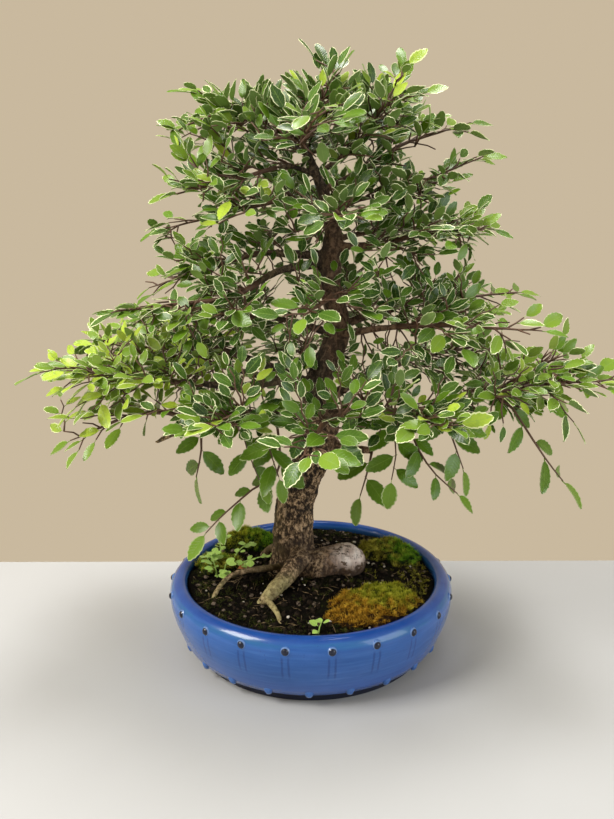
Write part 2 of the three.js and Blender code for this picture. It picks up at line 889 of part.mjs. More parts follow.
function soilSolid(extra) {
  const wall = [...POT_INSIDE].reverse().map(([radius, height]) => [radius - SOIL_MARGIN, height]);
  const outline = [
    [0, SOIL_BOTTOM],
    [wall[0][0], SOIL_BOTTOM],
    wall[1],
    [POT_INSIDE[0][0] - SOIL_MARGIN, SOIL_EDGE],
    ...[...SOIL_RINGS].reverse().map((radius) => [radius, SOIL_EDGE]),
  ];
  const points = outline.map(([radius, height]) => new THREE.Vector2(radius, height));
  const geometry = new THREE.LatheGeometry(points, SOIL_SIDES).rotateX(Math.PI / 2);
  const position = geometry.attributes.position;
  for (let i = 0; i < position.count; i++) {
    if (Math.abs(position.getZ(i) - SOIL_EDGE) < 1e-3) {
      position.setZ(i, soilHeight(position.getX(i), position.getY(i)) + extra);
    }
  }
  return solidOf(geometry);
}

function mossSolid(moss) {
  const geometry = new THREE.SphereGeometry(1, 10, 6).rotateX(Math.PI / 2);
  const position = geometry.attributes.position;
  for (let i = 0; i < position.count; i++) {
    const turn = Math.atan2(position.getY(i), position.getX(i));
    const waves = MOSS_LOBES.map(({ count, deep }, k) => deep * Math.sin(count * turn + moss.at[k]));
    const lobes = waves.reduce((sum, wave) => sum + wave, 1);
    position.setX(i, position.getX(i) * lobes * moss.wide[0] + moss.at[0]);
    position.setY(i, position.getY(i) * lobes * moss.wide[1] + moss.at[1]);
    position.setZ(i, position.getZ(i) * moss.high + SOIL_EDGE + MOSS_SEAT);
  }
  return solidOf(geometry);
}

// The seedling: two leaves part-way up its stem and two at its top
function seedlingSolid(stem) {
  const random = seeded(SEEDLING.seed);
  const solids = [limb(stem.points, stem.radii, SEEDLING.sides)];
  for (let i = 0; i < SEEDLING.leaves; i++) {
    const turn = i * SEEDLING.turn;
    const heading = new THREE.Vector3(Math.cos(turn), Math.sin(turn), SEEDLING.rise).normalize();
    const side = heading.clone().cross(UPWARDS).normalize();
    const base = stem.points[i < 2 ? 2 : 3];
    const end = base.clone().addScaledVector(heading, SEEDLING.stalk);
    const grown = leafAt(end, heading, side, 0, random);
    const leaf = { ...grown, node: 1, long: SEEDLING.leafLong, wide: SEEDLING.leafWide };
    solids.push(twigSolid([base, end], [TWIG_TIP_RADIUS, TWIG_TIP_RADIUS], [leaf]));
  }
  return joined(solids);
}

// Wood, soil and what covers the soil
const woodList = woodPieces(0);
woodList.forEach((piece) => place(piece, "trunk"));
const wood = joined(woodList);
const woodRoom = joined(woodPieces(GAP));

const seedlingStem = stretch(SEEDLING, 0, 1, 3);
const seedlingRoom = limb(seedlingStem.points, seedlingStem.radii, SEEDLING.sides, GAP);
const seedling = seedlingSolid(seedlingStem);
const stemRoom = woodRoom.add(seedlingRoom);

const soil = mainBody(soilSolid(0).subtract(stemRoom));
const soilRaised = soilSolid(GAP);
const ceiling = 2 * RIM.top;
const insidePot = turned([[0, 0], [MOSS_REACH, 0], [MOSS_REACH, ceiling], [0, ceiling]], SOIL_SIDES);
const mossList = MOSS.map((moss) => ({
  name: moss.name,
  solid: mainBody(mossSolid(moss).subtract(soilRaised).subtract(stemRoom).intersect(insidePot)),
}));

// The nodes of a stem or twig that the solid model keeps, with the radius and leaf at each
function thinned(nodes, leaves, keep, thick) {
  const last = nodes.length - 1;
  const kept = nodes.map((_, i) => i).filter((i) => i === 0 || i === last || keep(i));
  return {
    points: kept.map((i) => nodes[i]),
    radii: kept.map((i) => Math.max(TWIG_TIP_RADIUS, within(thick, i / last))),
    leaves: leaves
      .filter((leaf) => kept.includes(leaf.node))
      .map((leaf) => ({ ...leaf, node: kept.indexOf(leaf.node) })),
  };
}

// Leafy sprays: first every stem and twig, then the leaves that find room
const sprays = [...BRANCHES, ...SHOOTS].map((branch, index) => {
  const spray = growSpray(branch, FIRST_SEED + SEED_STEP * index);
  const owner = "spray_" + branch.name;
  const foot = mixOf(branch.thick[0], branch.thick[1], branch.split ?? 0);
  const keepStem = branch.reach ? (i) => i % STEM_EVERY === 0 : () => true;
  const stem = thinned(spray.nodes, spray.leaves, keepStem, [foot, TWIG_TIP_RADIUS]);
  const twigs = spray.twigs
    .filter((twig) => twig.node % TWIG_EVERY === TWIG_FIRST)
    .map((twig) => thinned(twig.points, twig.leaves, () => true, [TWIG_RADIUS, TWIG_TIP_RADIUS]));
  const parts = [stem, ...twigs];
  parts.forEach((part) => place(twigSolid(part.points, part.radii, []), owner));
  return { owner, parts };
});

for (const spray of sprays) {
  const solids = spray.parts.map((part) => {
    const kept = part.leaves.filter((leaf) => {
      const isRival = (other) => other.owner !== spray.owner || other.isLeaf;
      const hasRoom = !touches(bladeSolid(leaf, LEAF_ROOM), isRival);
      if (hasRoom) place(bladeSolid(leaf, 0), spray.owner, true);
      return hasRoom;
    });
    return twigSolid(part.points, part.radii, kept);
  });
  spray.solid = mainBody(joined(solids).subtract(woodRoom));
}

addPiece("pot", potSolid(), 0x4a78c0, 0.2);
addPiece("drain_screen", screenSolid(), 0x303030, 0.6);
addPiece("soil", soil, 0x2b2018, 0.95);
addPiece("trunk", wood, 0x5a4838, 0.9);
addPiece("seedling", seedling, 0x7fae4e, 0.6);
mossList.forEach(({ name, solid }) => addPiece(name, solid, 0x7a7a28, 0.95));
sprays.forEach(({ owner, solid }) => addPiece(owner, solid, 0x3f7a35, 0.5));

// The middle of the whole plant's box stands over the origin
const middle = new THREE.Box3().setFromObject(group).getCenter(new THREE.Vector3());
group.position.set(-middle.x, -middle.y, 0);

export default group;
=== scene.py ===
"""A variegated Chinese elm bonsai in a low round blue glazed pot.

Lengths are millimetres round the pot's axis, with the foot of the pot on z = 0. The studio at the end
is in metres. A form goes to metres in the model's frame when it becomes a piece."""

import math
import random
from collections import namedtuple
from itertools import product
from types import SimpleNamespace

import bmesh
import bpy
from mathutils import Matrix, Vector, kdtree, noise


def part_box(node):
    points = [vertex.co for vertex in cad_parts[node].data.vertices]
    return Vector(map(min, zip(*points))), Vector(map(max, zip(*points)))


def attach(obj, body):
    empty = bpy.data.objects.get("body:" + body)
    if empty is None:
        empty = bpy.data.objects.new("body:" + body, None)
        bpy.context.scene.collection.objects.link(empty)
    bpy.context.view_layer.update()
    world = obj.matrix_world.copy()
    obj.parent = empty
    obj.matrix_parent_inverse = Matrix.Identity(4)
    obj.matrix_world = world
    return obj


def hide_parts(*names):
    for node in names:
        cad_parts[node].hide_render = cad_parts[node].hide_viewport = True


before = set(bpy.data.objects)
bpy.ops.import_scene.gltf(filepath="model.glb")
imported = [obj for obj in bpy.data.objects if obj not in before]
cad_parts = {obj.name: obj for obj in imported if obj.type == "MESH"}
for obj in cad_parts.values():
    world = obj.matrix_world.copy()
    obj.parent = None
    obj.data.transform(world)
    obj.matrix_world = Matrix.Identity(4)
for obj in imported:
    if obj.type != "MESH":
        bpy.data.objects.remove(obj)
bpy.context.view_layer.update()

MM = 0.001
screen_low, screen_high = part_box("drain_screen")
POT_AXIS = Vector(((screen_low.x + screen_high.x) / 2, (screen_low.y + screen_high.y) / 2, 0))
TO_FRAME = Matrix.Translation(POT_AXIS) @ Matrix.Scale(MM, 4)

# Pot: radius and height along its outline, and the studs and drips round it
HOLE_RADIUS, FLOOR_UNDER, FLOOR_TOP = 12, 9, 16
POT_FOOT = [(97, 9), (97, 1), (98, 0), (106, 0), (107, 1), (107.6, 8)]
POT_OUTSIDE = [(109, 9.4), (116.5, 11.8), (120.2, 18), (123.5, 27), (126.2, 34), (128, 41), (129.2, 47),
               (129.5, 53), (128.9, 57.5), (127.3, 61.2), (124.6, 64.2), (121.6, 65.8), (119.2, 66)]
POT_INSIDE = [(116.6, 65.3), (114.8, 63.6), (114, 61), (114.5, 42), (112, 30), (108, 20), (104, 16)]
STUDS = 22
STUD_STEP = math.tau / STUDS
FIRST_STUD = math.radians(-8.97)
STUD_OUT, STUD_HEIGHT, STUD_RADIUS, STUD_RISE, STUD_TILT = 128.2, 57, 3.5, 3.4, 0.12
DRIP_OUT, DRIP_HEIGHT, DRIP_DEPTH, DRIP_WIDTH, DRIP_TILT = 116.6, 13, 2.6, 3.4, 0.35

# Soil: the height of its edge, its rise towards the middle, and the outline of its side and bottom
SOIL_EDGE, SOIL_RISE, SOIL_RADIUS = 59, 5, 114
SOIL_SIDE = [(0, 17.8), (103, 17.8), (113, 42), (113.1, 56), (113.1, SOIL_EDGE)]
SOIL_RINGS = range(111, -1, -3)
LITTER_REACH = 110

# Wood: x, y, z and the radius at each point of the trunk
TRUNK = [
    (-17, 13, 34, 24), (-17, 13, 60, 24), (-16, 14, 78, 20.5), (-16, 15, 104, 19), (-14, 15, 127, 17.8),
    (-7, 14, 148, 16.6), (1, 12, 169, 16.5), (8, 8, 189, 16.8), (10, 6, 208, 15.5), (6, 6, 234, 13),
    (14, 10, 259, 11.5), (24, 12, 282, 10.8), (24, 10, 300, 10.2), (18, 5, 325, 9), (18, 3, 352, 9.4),
    (20, 4, 370, 8), (17, 5, 388, 6.8), (9, 3, 410, 4.6), (2, 0, 428, 3.2), (-4, -2, 440, 2.4),
]
# Each root's radius at its foot and its tip, how pale and smooth its bark is, and its path
ROOTS = [
    # The big rounded root, which ends in a ball, and its rootlet
    ((16.5, 15), 0.45, [(-12, 6, 66), (6, 0, 70), (22, 5, 71), (36, 11, 69)]),
    ((2.2, 1.2), 0.4, [(34, 11, 64), (47, 6, 62), (57, -1, 53)]),
    # The forked root and its fork
    ((9.5, 4.5), 0.3, [(-8, -6, 84), (-20, -32, 76), (-31, -45, 69), (-41, -54, 60), (-48, -58, 50)]),
    ((3.4, 2.2), 0.3, [(-40, -55, 66), (-33, -68, 65), (-27, -80, 62), (-24, -91, 54)]),
    # The arched root, and the root behind
    ((3.4, 2.2), 0.2,
     [(-26, -2, 70), (-44, -18, 75), (-60, -25, 76), (-74, -32, 73), (-84, -46, 64), (-88, -56, 50)]),
    ((6, 4), 0.1, [(-22, 20, 72), (-36, 34, 72), (-48, 46, 58)]),
]
BALL_AT, BALL_SIZE = (32, 8, 70), (20, 18, 18)
# Middle of the pale spot on the ball: pale bare bark with a painted sheen, a highlight, on it
PALE_SHEEN_SPOT = (39, -2, 83)
# Each pruned stub's radius at its foot and its tip, and its path
STUBS = [
    ((8, 1.8), [(6, 2, 210), (-31, -5, 215), (-73, -20, 217), (-94, -26, 214), (-118, -30, 205),
                (-132, -32, 198)]),
    ((4.5, 3.4), [(12, 7, 184), (38, -4, 184), (54, -16, 186)]),
]
WOOD_VOXEL = 1.65
# Bark: the width, height and depth of its fissures, how they branch, and the sizes of the wood's lumps
FISSURE_WIDE, FISSURE_TALL, FISSURE_DEEP = 3.4, 8.5, 1.25
FISSURES, WIDE_LUMPS, SMALL_LUMPS = (0.9, 2.1, 4, 1.0, 1.6), 13, 6

# A branch has a radius at its foot and its tip, and belongs to the trunk's wood up to the split. The
# rest of its path, the young tip beyond it and the reach of its side twigs make a leafy spray, with a
# node at each spacing along it.
INTERNODE = 9
Branch = namedtuple("Branch", "name thick split tip reach path spacing", defaults=[INTERNODE])
BRANCHES = [
    Branch("low_left_upper", (5.5, 1.4), 0.55, 36, 62,
           [(4, 6, 240), (-22, 4, 245), (-60, -14, 243), (-101, -30, 250), (-142, -42, 256),
            (-170, -47, 261)]),
    Branch("low_left_outer", (2.6, 1.2), 0.2, 26, 36,
           [(-96, -27, 214), (-120, -38, 226), (-148, -48, 226), (-172, -52, 217)]),
    Branch("low_left_back", (5.5, 1.5), 0.5, 60, 56,
           [(5, 8, 238), (-38, 44, 250), (-88, 72, 262), (-130, 90, 268)]),
    Branch("low_left_middle", (4.5, 1.5), 0.5, 48, 50,
           [(2, 8, 232), (-40, 20, 244), (-95, 22, 258), (-146, 14, 270)]),
    Branch("low_right", (6.5, 1.4), 0.76, 22, 50,
           [(8, 4, 210), (35, -4, 216), (65, -14, 219), (97, -24, 224), (142, -34, 237),
            (176, -40, 257), (188, -42, 265)]),
    Branch("low_right_outer", (2.6, 1.2), 0.2, 36, 40,
           [(112, -27, 227), (148, -47, 244), (186, -57, 253), (219, -60, 256)]),
    Branch("low_right_lower", (2.4, 1.2), 0.25, 36, 36, [(104, -25, 225), (140, -12, 238), (172, -8, 236)]),
    Branch("low_right_back", (5.5, 1.5), 0.5, 62, 56,
           [(8, 10, 222), (50, 48, 238), (98, 78, 250), (142, 94, 256)]),
    Branch("front_low", (5, 1.5), 0.45, 44, 44,
           [(10, 2, 214), (14, -42, 222), (10, -84, 228), (4, -112, 226)]),
    Branch("front_left", (3.5, 1.4), 0.35, 48, 44, [(-35, -8, 215), (-50, -46, 226), (-62, -84, 232)]),
    Branch("front_right", (3.5, 1.4), 0.35, 48, 44, [(60, -12, 218), (72, -50, 228), (86, -86, 232)]),
    Branch("back_low", (5, 1.5), 0.45, 60, 56, [(8, 14, 228), (6, 60, 244), (0, 106, 252)]),
    Branch("middle_right", (4.5, 1.4), 0.5, 42, 44,
           [(24, 11, 290), (46, 18, 298), (71, 22, 307), (107, 26, 312), (142, 30, 315)]),
    Branch("middle_right_front", (4, 1.4), 0.45, 48, 42,
           [(24, 9, 284), (58, -24, 294), (98, -50, 300), (134, -64, 300)]),
    Branch("middle_left_back", (4, 1.4), 0.45, 56, 48,
           [(22, 12, 284), (-22, 34, 294), (-70, 52, 298), (-108, 60, 296)]),
    Branch("middle_left", (4.5, 1.4), 0.5, 56, 46,
           [(16, 6, 346), (-25, -12, 341), (-61, -34, 322), (-100, -42, 317)]),
    Branch("middle_front", (3.6, 1.4), 0.4, 40, 40, [(20, 4, 318), (18, -36, 322), (6, -76, 318)]),
    Branch("middle_back", (3.6, 1.4), 0.4, 50, 46, [(22, 12, 300), (30, 54, 314), (26, 96, 316)]),
    Branch("high_right", (4, 1.3), 0.5, 28, 40,
           [(20, 4, 360), (46, -8, 361), (70, -16, 365), (97, -24, 373), (118, -30, 374)]),
    Branch("high_right_back", (3.5, 1.3), 0.45, 32, 42, [(20, 6, 366), (60, 40, 372), (94, 58, 371)]),
    Branch("high_left", (4.5, 1.3), 0.5, 44, 44,
           [(18, 4, 352), (-21, 10, 354), (-45, 18, 354), (-74, 24, 346), (-102, 28, 337)]),
    Branch("high_front", (3, 1.3), 0.4, 36, 36, [(18, 4, 378), (26, -36, 384), (24, -68, 384)]),
    Branch("high_back", (3, 1.3), 0.4, 42, 42, [(18, 6, 380), (8, 48, 390), (-6, 80, 392)]),
    Branch("top_right", (3.2, 1.2), 0.45, 36, 38,
           [(16, 5, 388), (41, 14, 398), (76, 14, 406), (110, 8, 419)]),
    Branch("top_left", (3.5, 1.3), 0.45, 54, 42,
           [(16, 5, 388), (-17, 16, 398), (-41, 22, 395), (-80, 27, 386)]),
    Branch("crown_left", (2.8, 1.2), 0.4, 26, 38,
           [(6, 2, 418), (-20, -8, 424), (-55, -22, 414), (-80, -27, 408)]),
    Branch("crown_upper_left", (2.4, 1.2), 0.35, 27, 38,
           [(0, -1, 432), (-18, 5, 444), (-46, 8, 460), (-72, 8, 472)]),
    Branch("crown_top", (2.3, 1.3), 0.3, 32, 34, [(-4, -2, 438), (-2, -2, 452), (6, -1, 468)]),
    Branch("crown_upper_right", (2.6, 1.2), 0.4, 34, 36,
           [(6, 1, 418), (26, -4, 432), (46, -8, 450), (58, -10, 468)]),
    Branch("crown_right", (2.8, 1.2), 0.4, 40, 36,
           [(12, 4, 406), (50, 12, 426), (76, 15, 442), (100, 17, 450)]),
    Branch("crown_back", (2.3, 1.2), 0.35, 36, 38, [(0, 0, 430), (-12, 34, 444), (-20, 60, 452)]),
    Branch("crown_front", (2.3, 1.2), 0.35, 34, 34, [(2, 0, 428), (-6, -30, 440), (0, -54, 448)]),
]


def hanging(name, *path):
    """A long young shoot with single leaves along it."""
    return Branch(name, (1.3, 0.8), 0, 0, 0, path, 13)


SHOOTS = [
    hanging("right_long", (150, -36, 240), (163, -52, 234), (176, -62, 214), (191, -68, 192),
            (204, -70, 176)),
    hanging("right_middle", (112, -28, 228), (116, -48, 210), (126, -56, 182)),
    hanging("right_inner", (84, -20, 222), (86, -50, 204), (100, -62, 182), (120, -66, 164)),
    hanging("right_stub", (54, -16, 186), (50, -26, 172), (43, -32, 150)),
    hanging("left_knob", (-94, -26, 214), (-92, -38, 194), (-97, -40, 170)),
    hanging("left_long", (-30, -6, 214), (-27, -20, 170), (-50, -32, 156), (-75, -44, 137),
            (-89, -52, 124)),
]
# More hanging shoots and, at the crown's edge, more twigs, each named for the spray that it belongs to
MORE_SHOOTS = [
    hanging("low_left_upper", (-60, -26, 226), (-54, -44, 200), (-42, -52, 170)),
    hanging("front_left", (-40, -26, 216), (-34, -50, 198), (-26, -58, 176)),
    hanging("front_right", (66, -30, 220), (70, -58, 200), (66, -66, 176)),
]
MORE_TWIGS = [
    ("low_left_upper", (-150, -45, 257), (-190, -54, 240)),
    ("low_left_upper", (-160, -46, 258), (-200, -44, 253)),
    ("low_left_outer", (-148, -48, 226), (-188, -58, 231)),
    ("low_left_outer", (-140, -46, 226), (-178, -36, 222)),
    ("low_right_outer", (186, -57, 253), (212, -66, 226)),
    ("low_right_outer", (200, -58, 255), (216, -50, 274)),
    ("crown_upper_right", (58, -10, 468), (94, -12, 484)),
    ("crown_upper_right", (46, -8, 450), (100, -4, 466)),
]

# Growth: the same rules and the same numbers that place the solids' twigs and leaves
ZIGZAG = 1.1
TWIG_RADIUS, TWIG_TIP_RADIUS = 1.0, 0.5
TWIG_ANGLE, TWIG_TAPER, TWIG_SAG = 0.87, 0.7, 0.12
TWIG_SIZE, TWIG_LEAN, TWIG_LIFT = (0.7, 1.15), (0.75, 1.2), (-0.25, 0.5)
LEAF_ANGLE, LEAF_LEAN, LEAF_PITCH = 0.85, (0.75, 1.25), (-0.5, 0.2)
LEAF_ROLL, LEAF_DROOP, LEAF_SIZE = (-0.6, 0.6), (0, 0.25), (0.72, 1.2)
LEAF_BREADTH, LEAF_LONG_LOW, LEAF_LONG_HIGH, LEAF_WIDE = (0.9, 1.12), 21, 17.5, 0.54
PETIOLE = 2.4
CROWN_LOW, CROWN_HIGH = 200, 500
UPWARDS = Vector((0, -0.25, 1)).normalized()
FIRST_SEED, SEED_STEP = 1000, 17
WORD = 0xFFFFFFFF

# Fuller growth: where each run of seeded numbers starts
FILL_SEED, CROWN_SEED, TWIG_SEED, LEAF_SEED = 5000, 7000, 8000, 9000
# The twigs that fill up a spray. Sprays above a height also have them at these shares of the inner
# branch. At each node there is one on the bare side, with a lift, a share of the spray's reach and a
# chance, and two that rise, each with its side first. A few more grow on all the twigs.
INNER_TWIGS_FROM, INNER_TWIGS = 300, (0.5, 0.66, 0.83)
BARE_SIDE_TWIG = (TWIG_LIFT, 0.9, 0.9)
RISING_TWIGS = [(0.4, (0.5, 1.2), 0.6, 0.55), (-0.4, (0.2, 0.8), 0.7, 0.3)]
SUB_TWIG_CHANCE, SUB_TWIG_LEAN, SUB_TWIG_LIFT, SUB_TWIG_LONG = 0.3, 0.7, (-0.3, 0.6), (12, 26)
# Their leaves change in size and point upwards from the foot of the crown to its top, and a shoot's
# leaves change in size along it
FILL_SIZE, LEAF_RISE, SHOOT_SIZE = (0.72, 1.05), (0.0, 0.75), (1.25, 1.05)

# The crown: at each height, how far it reaches left, right, front and back
CROWN = [
    (206, -150, 165, -95, 105), (228, -212, 212, -120, 134), (250, -224, 230, -130, 140),
    (277, -204, 202, -122, 132), (300, -156, 156, -104, 114), (330, -134, 142, -90, 104),
    (365, -128, 142, -80, 96), (398, -112, 128, -70, 86), (430, -108, 112, -62, 74),
    (452, -116, 100, -54, 62), (466, -104, 90, -44, 46), (478, -44, 84, -30, 30), (489, 6, 76, -16, 20),
]
CROWN_SKIN = 1.2
# Twigs that are added end above this height, and higher by a slope this far in front of the trunk
CROWN_FOOT, FOOT_SLOPE, FOOT_SLOPE_FROM = 216, 0.16, 30
# Twigs that fill the crown grow from wood within reach, rather outwards than back and rather up than
# down, where a room of this size has no leaf yet
CROWN_TRIES, CROWN_TWIGS, LEAF_ROOM = 17000, 860, 11.2
CROWN_MIDDLE, CROWN_REACH, CROWN_CHOICES = (12, 5), (12, 60), 14
BACKWARD, BACKWARD_COST = 4, 1.7
INNER_KNOTS = (0.3, 0.45, 0.6, 0.75, 0.9)
# Where the crown stays open, as seen from the camera's place: middle and half-widths in the upright
# plane through the trunk. The trunk shows between two heights, this far to each side of its axis. This
# share of the leaves there is left out.
EYE = (0, -659, 379)
OPENINGS = [
    (180, 290, 30, 15),  # above the end of the low right tier
    (85, 285, 40, 8),  # between the low right tier and the next one
    (210, 262, 16, 8),  # among the tips of the low right tier
    (95, 435, 20, 15),  # under the top right tier
    (-105, 385, 15, 20),  # under the top left tier
    (-130, 322, 34, 13),  # under the middle left tier
    (-20, 312, 12, 18),  # left of the trunk
    (5, 282, 12, 7),  # under the middle branches
    (-20, 193, 13, 10),  # under the lowest branch
    (-185, 208, 35, 8),  # under the tips of the low left tier
]
BARE_TRUNK = (232, 385, 7)
OPEN_SHARE = 0.8

# Leaves: the blade's thickness as a share of its length, how many teeth a leaf has up to a length and
# past it, and its droops. Leaves face the way they grew, and the more by luck away from a point behind
# the trunk and upwards. Of some sprays this share is fresh at the tips.
BLADE_THICK, LEAF_TEETH, SMALL_LEAF, DROOPS = 0.018, (4, 6), 19, (0.03, 0.09, 0.15, 0.22)
LIGHT_MIDDLE, LIGHT_RISE, GROWN_WAY, LIGHT_WAY = (12, 50), 75, 1.1, 0.3
# A leaf is younger the further out it lies from the crown's middle, whose reach shrinks with the height.
# The older, darker leaves inside are also painted shade of the crown
AGE_MIDDLE, AGE_REACH, AGE_TAPER, AGE_FOOT = (10, 5), 205, 0.45, 220
FRESH_SPRAYS = {
    "low_left_upper": 0.95, "low_left_outer": 0.7, "low_left_middle": 0.85, "low_left_back": 0.7,
    "crown_top": 0.3, "crown_upper_right": 0.3, "crown_upper_left": 0.12, "crown_left": 0.1,
    "low_right_outer": 0.28, "low_right": 0.22, "front_left": 0.15, "front_right": 0.2,
}
# Leaves are painted in tiles: four rows by age, four columns of slightly different tone, the last one
# almost without a cream margin, and in each tile the upper side on the left and the under side on the
# right. The last tile is kept for the twigs.
# The oldest row is the darkest green: partly the leaves' age, partly painted shade inside the crown and on
# the shoots
OLD_SHADED, GROWN, YOUNG, FRESH = range(4)
LEAF_TILES, PLAIN_COLUMN = 4, 3
BARK_TILE = (PLAIN_COLUMN, FRESH)
TILE_HALF, TILE_EDGE, TILE_LONG = 0.45, 0.04, 0.92

# Moss cushions: middle, half-widths, height above the soil, number and size of the tufts, and seed
Moss = namedtuple("Moss", "name at wide high tufts tall seed")
MOSS = [
    Moss("moss_front_right", (60, -68), (46, 36), 10, 1000, 1.1, 21),
    Moss("moss_right_back", (80, 46), (32, 30), 9, 700, 1.0, 22),
    Moss("moss_left_back", (-66, 68), (32, 20), 15, 520, 1.0, 23),
    Moss("moss_left", (-88, 18), (20, 18), 8, 330, 1.0, 24),
]
MOSS_REACH, MOSS_AT_RIM, MOSS_FOOT = 112.5, 0.3, SOIL_EDGE + 1
MOSS_BUMP, BUMP_WIDE, DRIFT_WIDE = 3.4, 9, 17
TUFT_KINDS, TUFT_SHOOTS = 4, 11
SHOOT_RADIUS, SHOOT_LONG, SHOOT_LEAN, SHOOT_SPREAD = 0.34, (2.6, 5.4), (0.3, 1.4), 0.8

# Small plants: the seedling, the creeping weed round it and behind it, and one at the front rim. Fallen
# leaves lie at a place, with a turn and a length.
SEEDLING_STEMS = [
    [(-86, -2, 50), (-88, -4, 68), (-92, -2, 82)],
    [(-86, -2, 58), (-80, -8, 68), (-78, -10, 76)],
    [(-87, -3, 60), (-94, 4, 70), (-98, 8, 76)],
]
WEED_STEMS = [
    [(-78, 20, 60), (-70, 26, 72), (-62, 24, 80), (-54, 22, 84)],
    [(-74, 22, 60), (-58, 16, 68), (-42, 12, 74), (-34, 10, 72)],
    [(-84, 26, 60), (-88, 34, 74), (-84, 42, 82)],
    [(-72, 24, 60), (-66, 8, 66), (-56, -4, 68)],
    [(-80, 14, 60), (-90, 10, 70), (-98, 12, 78)],
    [(6, -104, 58), (7, -104, 65), (9, -103, 70)],
]
STEM_RADII = (0.7, 0.35)
FALLEN_LEAVES = [((-70, 2), 0.4, 13), ((26, 40), 2.1, 12), ((-20, 62), 4.0, 12)]


def seeded(seed):
    """Repeatable numbers from 0 to 1."""
    state = seed

    def draw():
        nonlocal state
        state = (state + 0x6D2B79F5) & WORD
        mixed = ((state ^ (state >> 15)) * (1 | state)) & WORD
        mixed ^= (mixed + (mixed ^ (mixed >> 7)) * (61 | mixed)) & WORD
        return (mixed ^ (mixed >> 14)) / 2**32

    return draw


def mix_of(low, high, share):
    return low + (high - low) * share


def within(span, share):
    return mix_of(*span, share)


def clamped(number):
    return min(1, max(0, number))


def between(numbers, place):
    """The number at a place in a row of numbers, where 1.5 is halfway from the second to the third."""
    k = min(int(place), len(numbers) - 2)
    return mix_of(numbers[k], numbers[k + 1], place - k)


def on_path(path, share):
    """A point on the smooth curve through a path."""
    points = [Vector(point) for point in path]
    points = [2 * points[0] - points[1], *points, 2 * points[-1] - points[-2]]
    steps = len(path) - 1
    k = min(int(share * steps), steps - 1)
    t = share * steps - k
    before, start, end, after = points[k : k + 4]
    leave, arrive = (end - before) / 2, (after - start) / 2
    bend = -3 * start + 3 * end - 2 * leave - arrive
    return start + leave * t + bend * t**2 + (2 * start - 2 * end + leave + arrive) * t**3


def side_of(heading):
    return heading.cross(UPWARDS).normalized()


def square_to(along, up):
    """The part of a direction that stands square to another one."""
    return up - along * up.dot(along)


def leaning(heading, side, lean, up, rise):
    """A direction that leans off a heading to its side, and rises."""
    return (heading * math.cos(lean) + side * math.sin(lean) + up * rise).normalized()


def turn_at(k, last):
    """The side on which a node carries its leaf or twig, -1 or 1, or 0 for the last node."""
    return 0 if k == last else 1 if k % 2 else -1


def crown_height(spot):
    return (spot.z - CROWN_LOW) / (CROWN_HIGH - CROWN_LOW)


def leaf_at(base, heading, side, turn, draw):
    """One leaf on a twig, leaning off to one side, or straight on from its end."""
    size, angle, roll, pitch = draw(), draw(), draw(), draw()
    up = side.cross(heading).normalized()
    lean = turn * LEAF_ANGLE * within(LEAF_LEAN, angle)
    along = leaning(heading, side, lean, up, within(LEAF_PITCH, pitch))
    up = square_to(along, up).normalized()
    up.rotate(Matrix.Rotation(within(LEAF_ROLL, roll), 3, along))
    long = mix_of(LEAF_LONG_LOW, LEAF_LONG_HIGH, clamped(crown_height(base))) * within(LEAF_SIZE, size)
    wide = LEAF_WIDE * within(LEAF_BREADTH, roll)
    droop = within(LEAF_DROOP, pitch)
    return SimpleNamespace(base=base, along=along, up=up, long=long, wide=wide, droop=droop, far=None)


def middle_of(leaf):
    return leaf.base + leaf.along * leaf.long * 0.6


def grow_twig(start, heading, length, draw):
    """A twig from a point: its zig-zag nodes, with a leaf at each and one at its end."""
    count = max(1, math.floor(length / INTERNODE + 0.5))
    side = side_of(heading)
    points = [start.copy()]
    for k in range(1, count + 1):
        far = k * INTERNODE
        point = start + heading * far + side * (ZIGZAG if k % 2 else -ZIGZAG)
        point.z -= TWIG_SAG * far * far / (count * INTERNODE)
        points.append(point)
    leaves = [leaf_at(points[k], heading, side, turn_at(k, count), draw) for k in range(1, count + 1)]
    return SimpleNamespace(points=points, leaves=leaves)


def twig_between(start, end, draw):
    away = end - start
    return grow_twig(start, away.normalized(), away.length, draw)


def side_twig(start, heading, lean, rise, length, draw):
    """A twig that leans off its stem by an angle, to one side or the other, and rises."""
    side = side_of(heading)
    return grow_twig(start, leaning(heading, side, lean, side.cross(heading), rise), length, draw)


def leaves_of(spray):
    return spray.leaves + [leaf for twig in spray.twigs for leaf in twig.leaves]


def stem_of(branch):
    """A spray's stem: its nodes along the outer branch, then along the young wood beyond its tip."""

    def outer(steps):
        return [on_path(branch.path, mix_of(branch.split, 1, i / steps)) for i in range(steps + 1)]

    rough = outer(24)
    length = sum((b - a).length for a, b in zip(rough, rough[1:]))
    nodes = outer(max(1, math.floor(length / branch.spacing + 0.5)))
    heading = (nodes[-1] - nodes[-2]).normalized()
    side = side_of(heading)
    end = nodes[-1]
    for k in range(1, math.floor(branch.tip / INTERNODE + 0.5) + 1):
        nodes.append(end + heading * (k * INTERNODE) + side * (ZIGZAG if k % 2 else 0))
    return nodes


def grow_spray(branch, draw):
    """A leafy spray: its stem, and at each node a side twig, or one leaf where that would be short."""
    nodes = stem_of(branch)
    last = len(nodes) - 1
    spray = SimpleNamespace(nodes=nodes, twigs=[], leaves=[])
    for i in range(1, last + 1):
        heading = (nodes[min(i + 1, last)] - nodes[i - 1]).normalized()
        turn = turn_at(i, last)
        size, angle, lift = draw(), draw(), draw()
        length = branch.reach * (1 - TWIG_TAPER * i / last) * within(TWIG_SIZE, size)
        if length < INTERNODE or i == last:
            spray.leaves.append(leaf_at(nodes[i], heading, side_of(heading), turn, draw))
            continue
        lean = turn * TWIG_ANGLE * within(TWIG_LEAN, angle)
        spray.twigs.append(side_twig(nodes[i], heading, lean, within(TWIG_LIFT, lift), length, draw))
    return spray


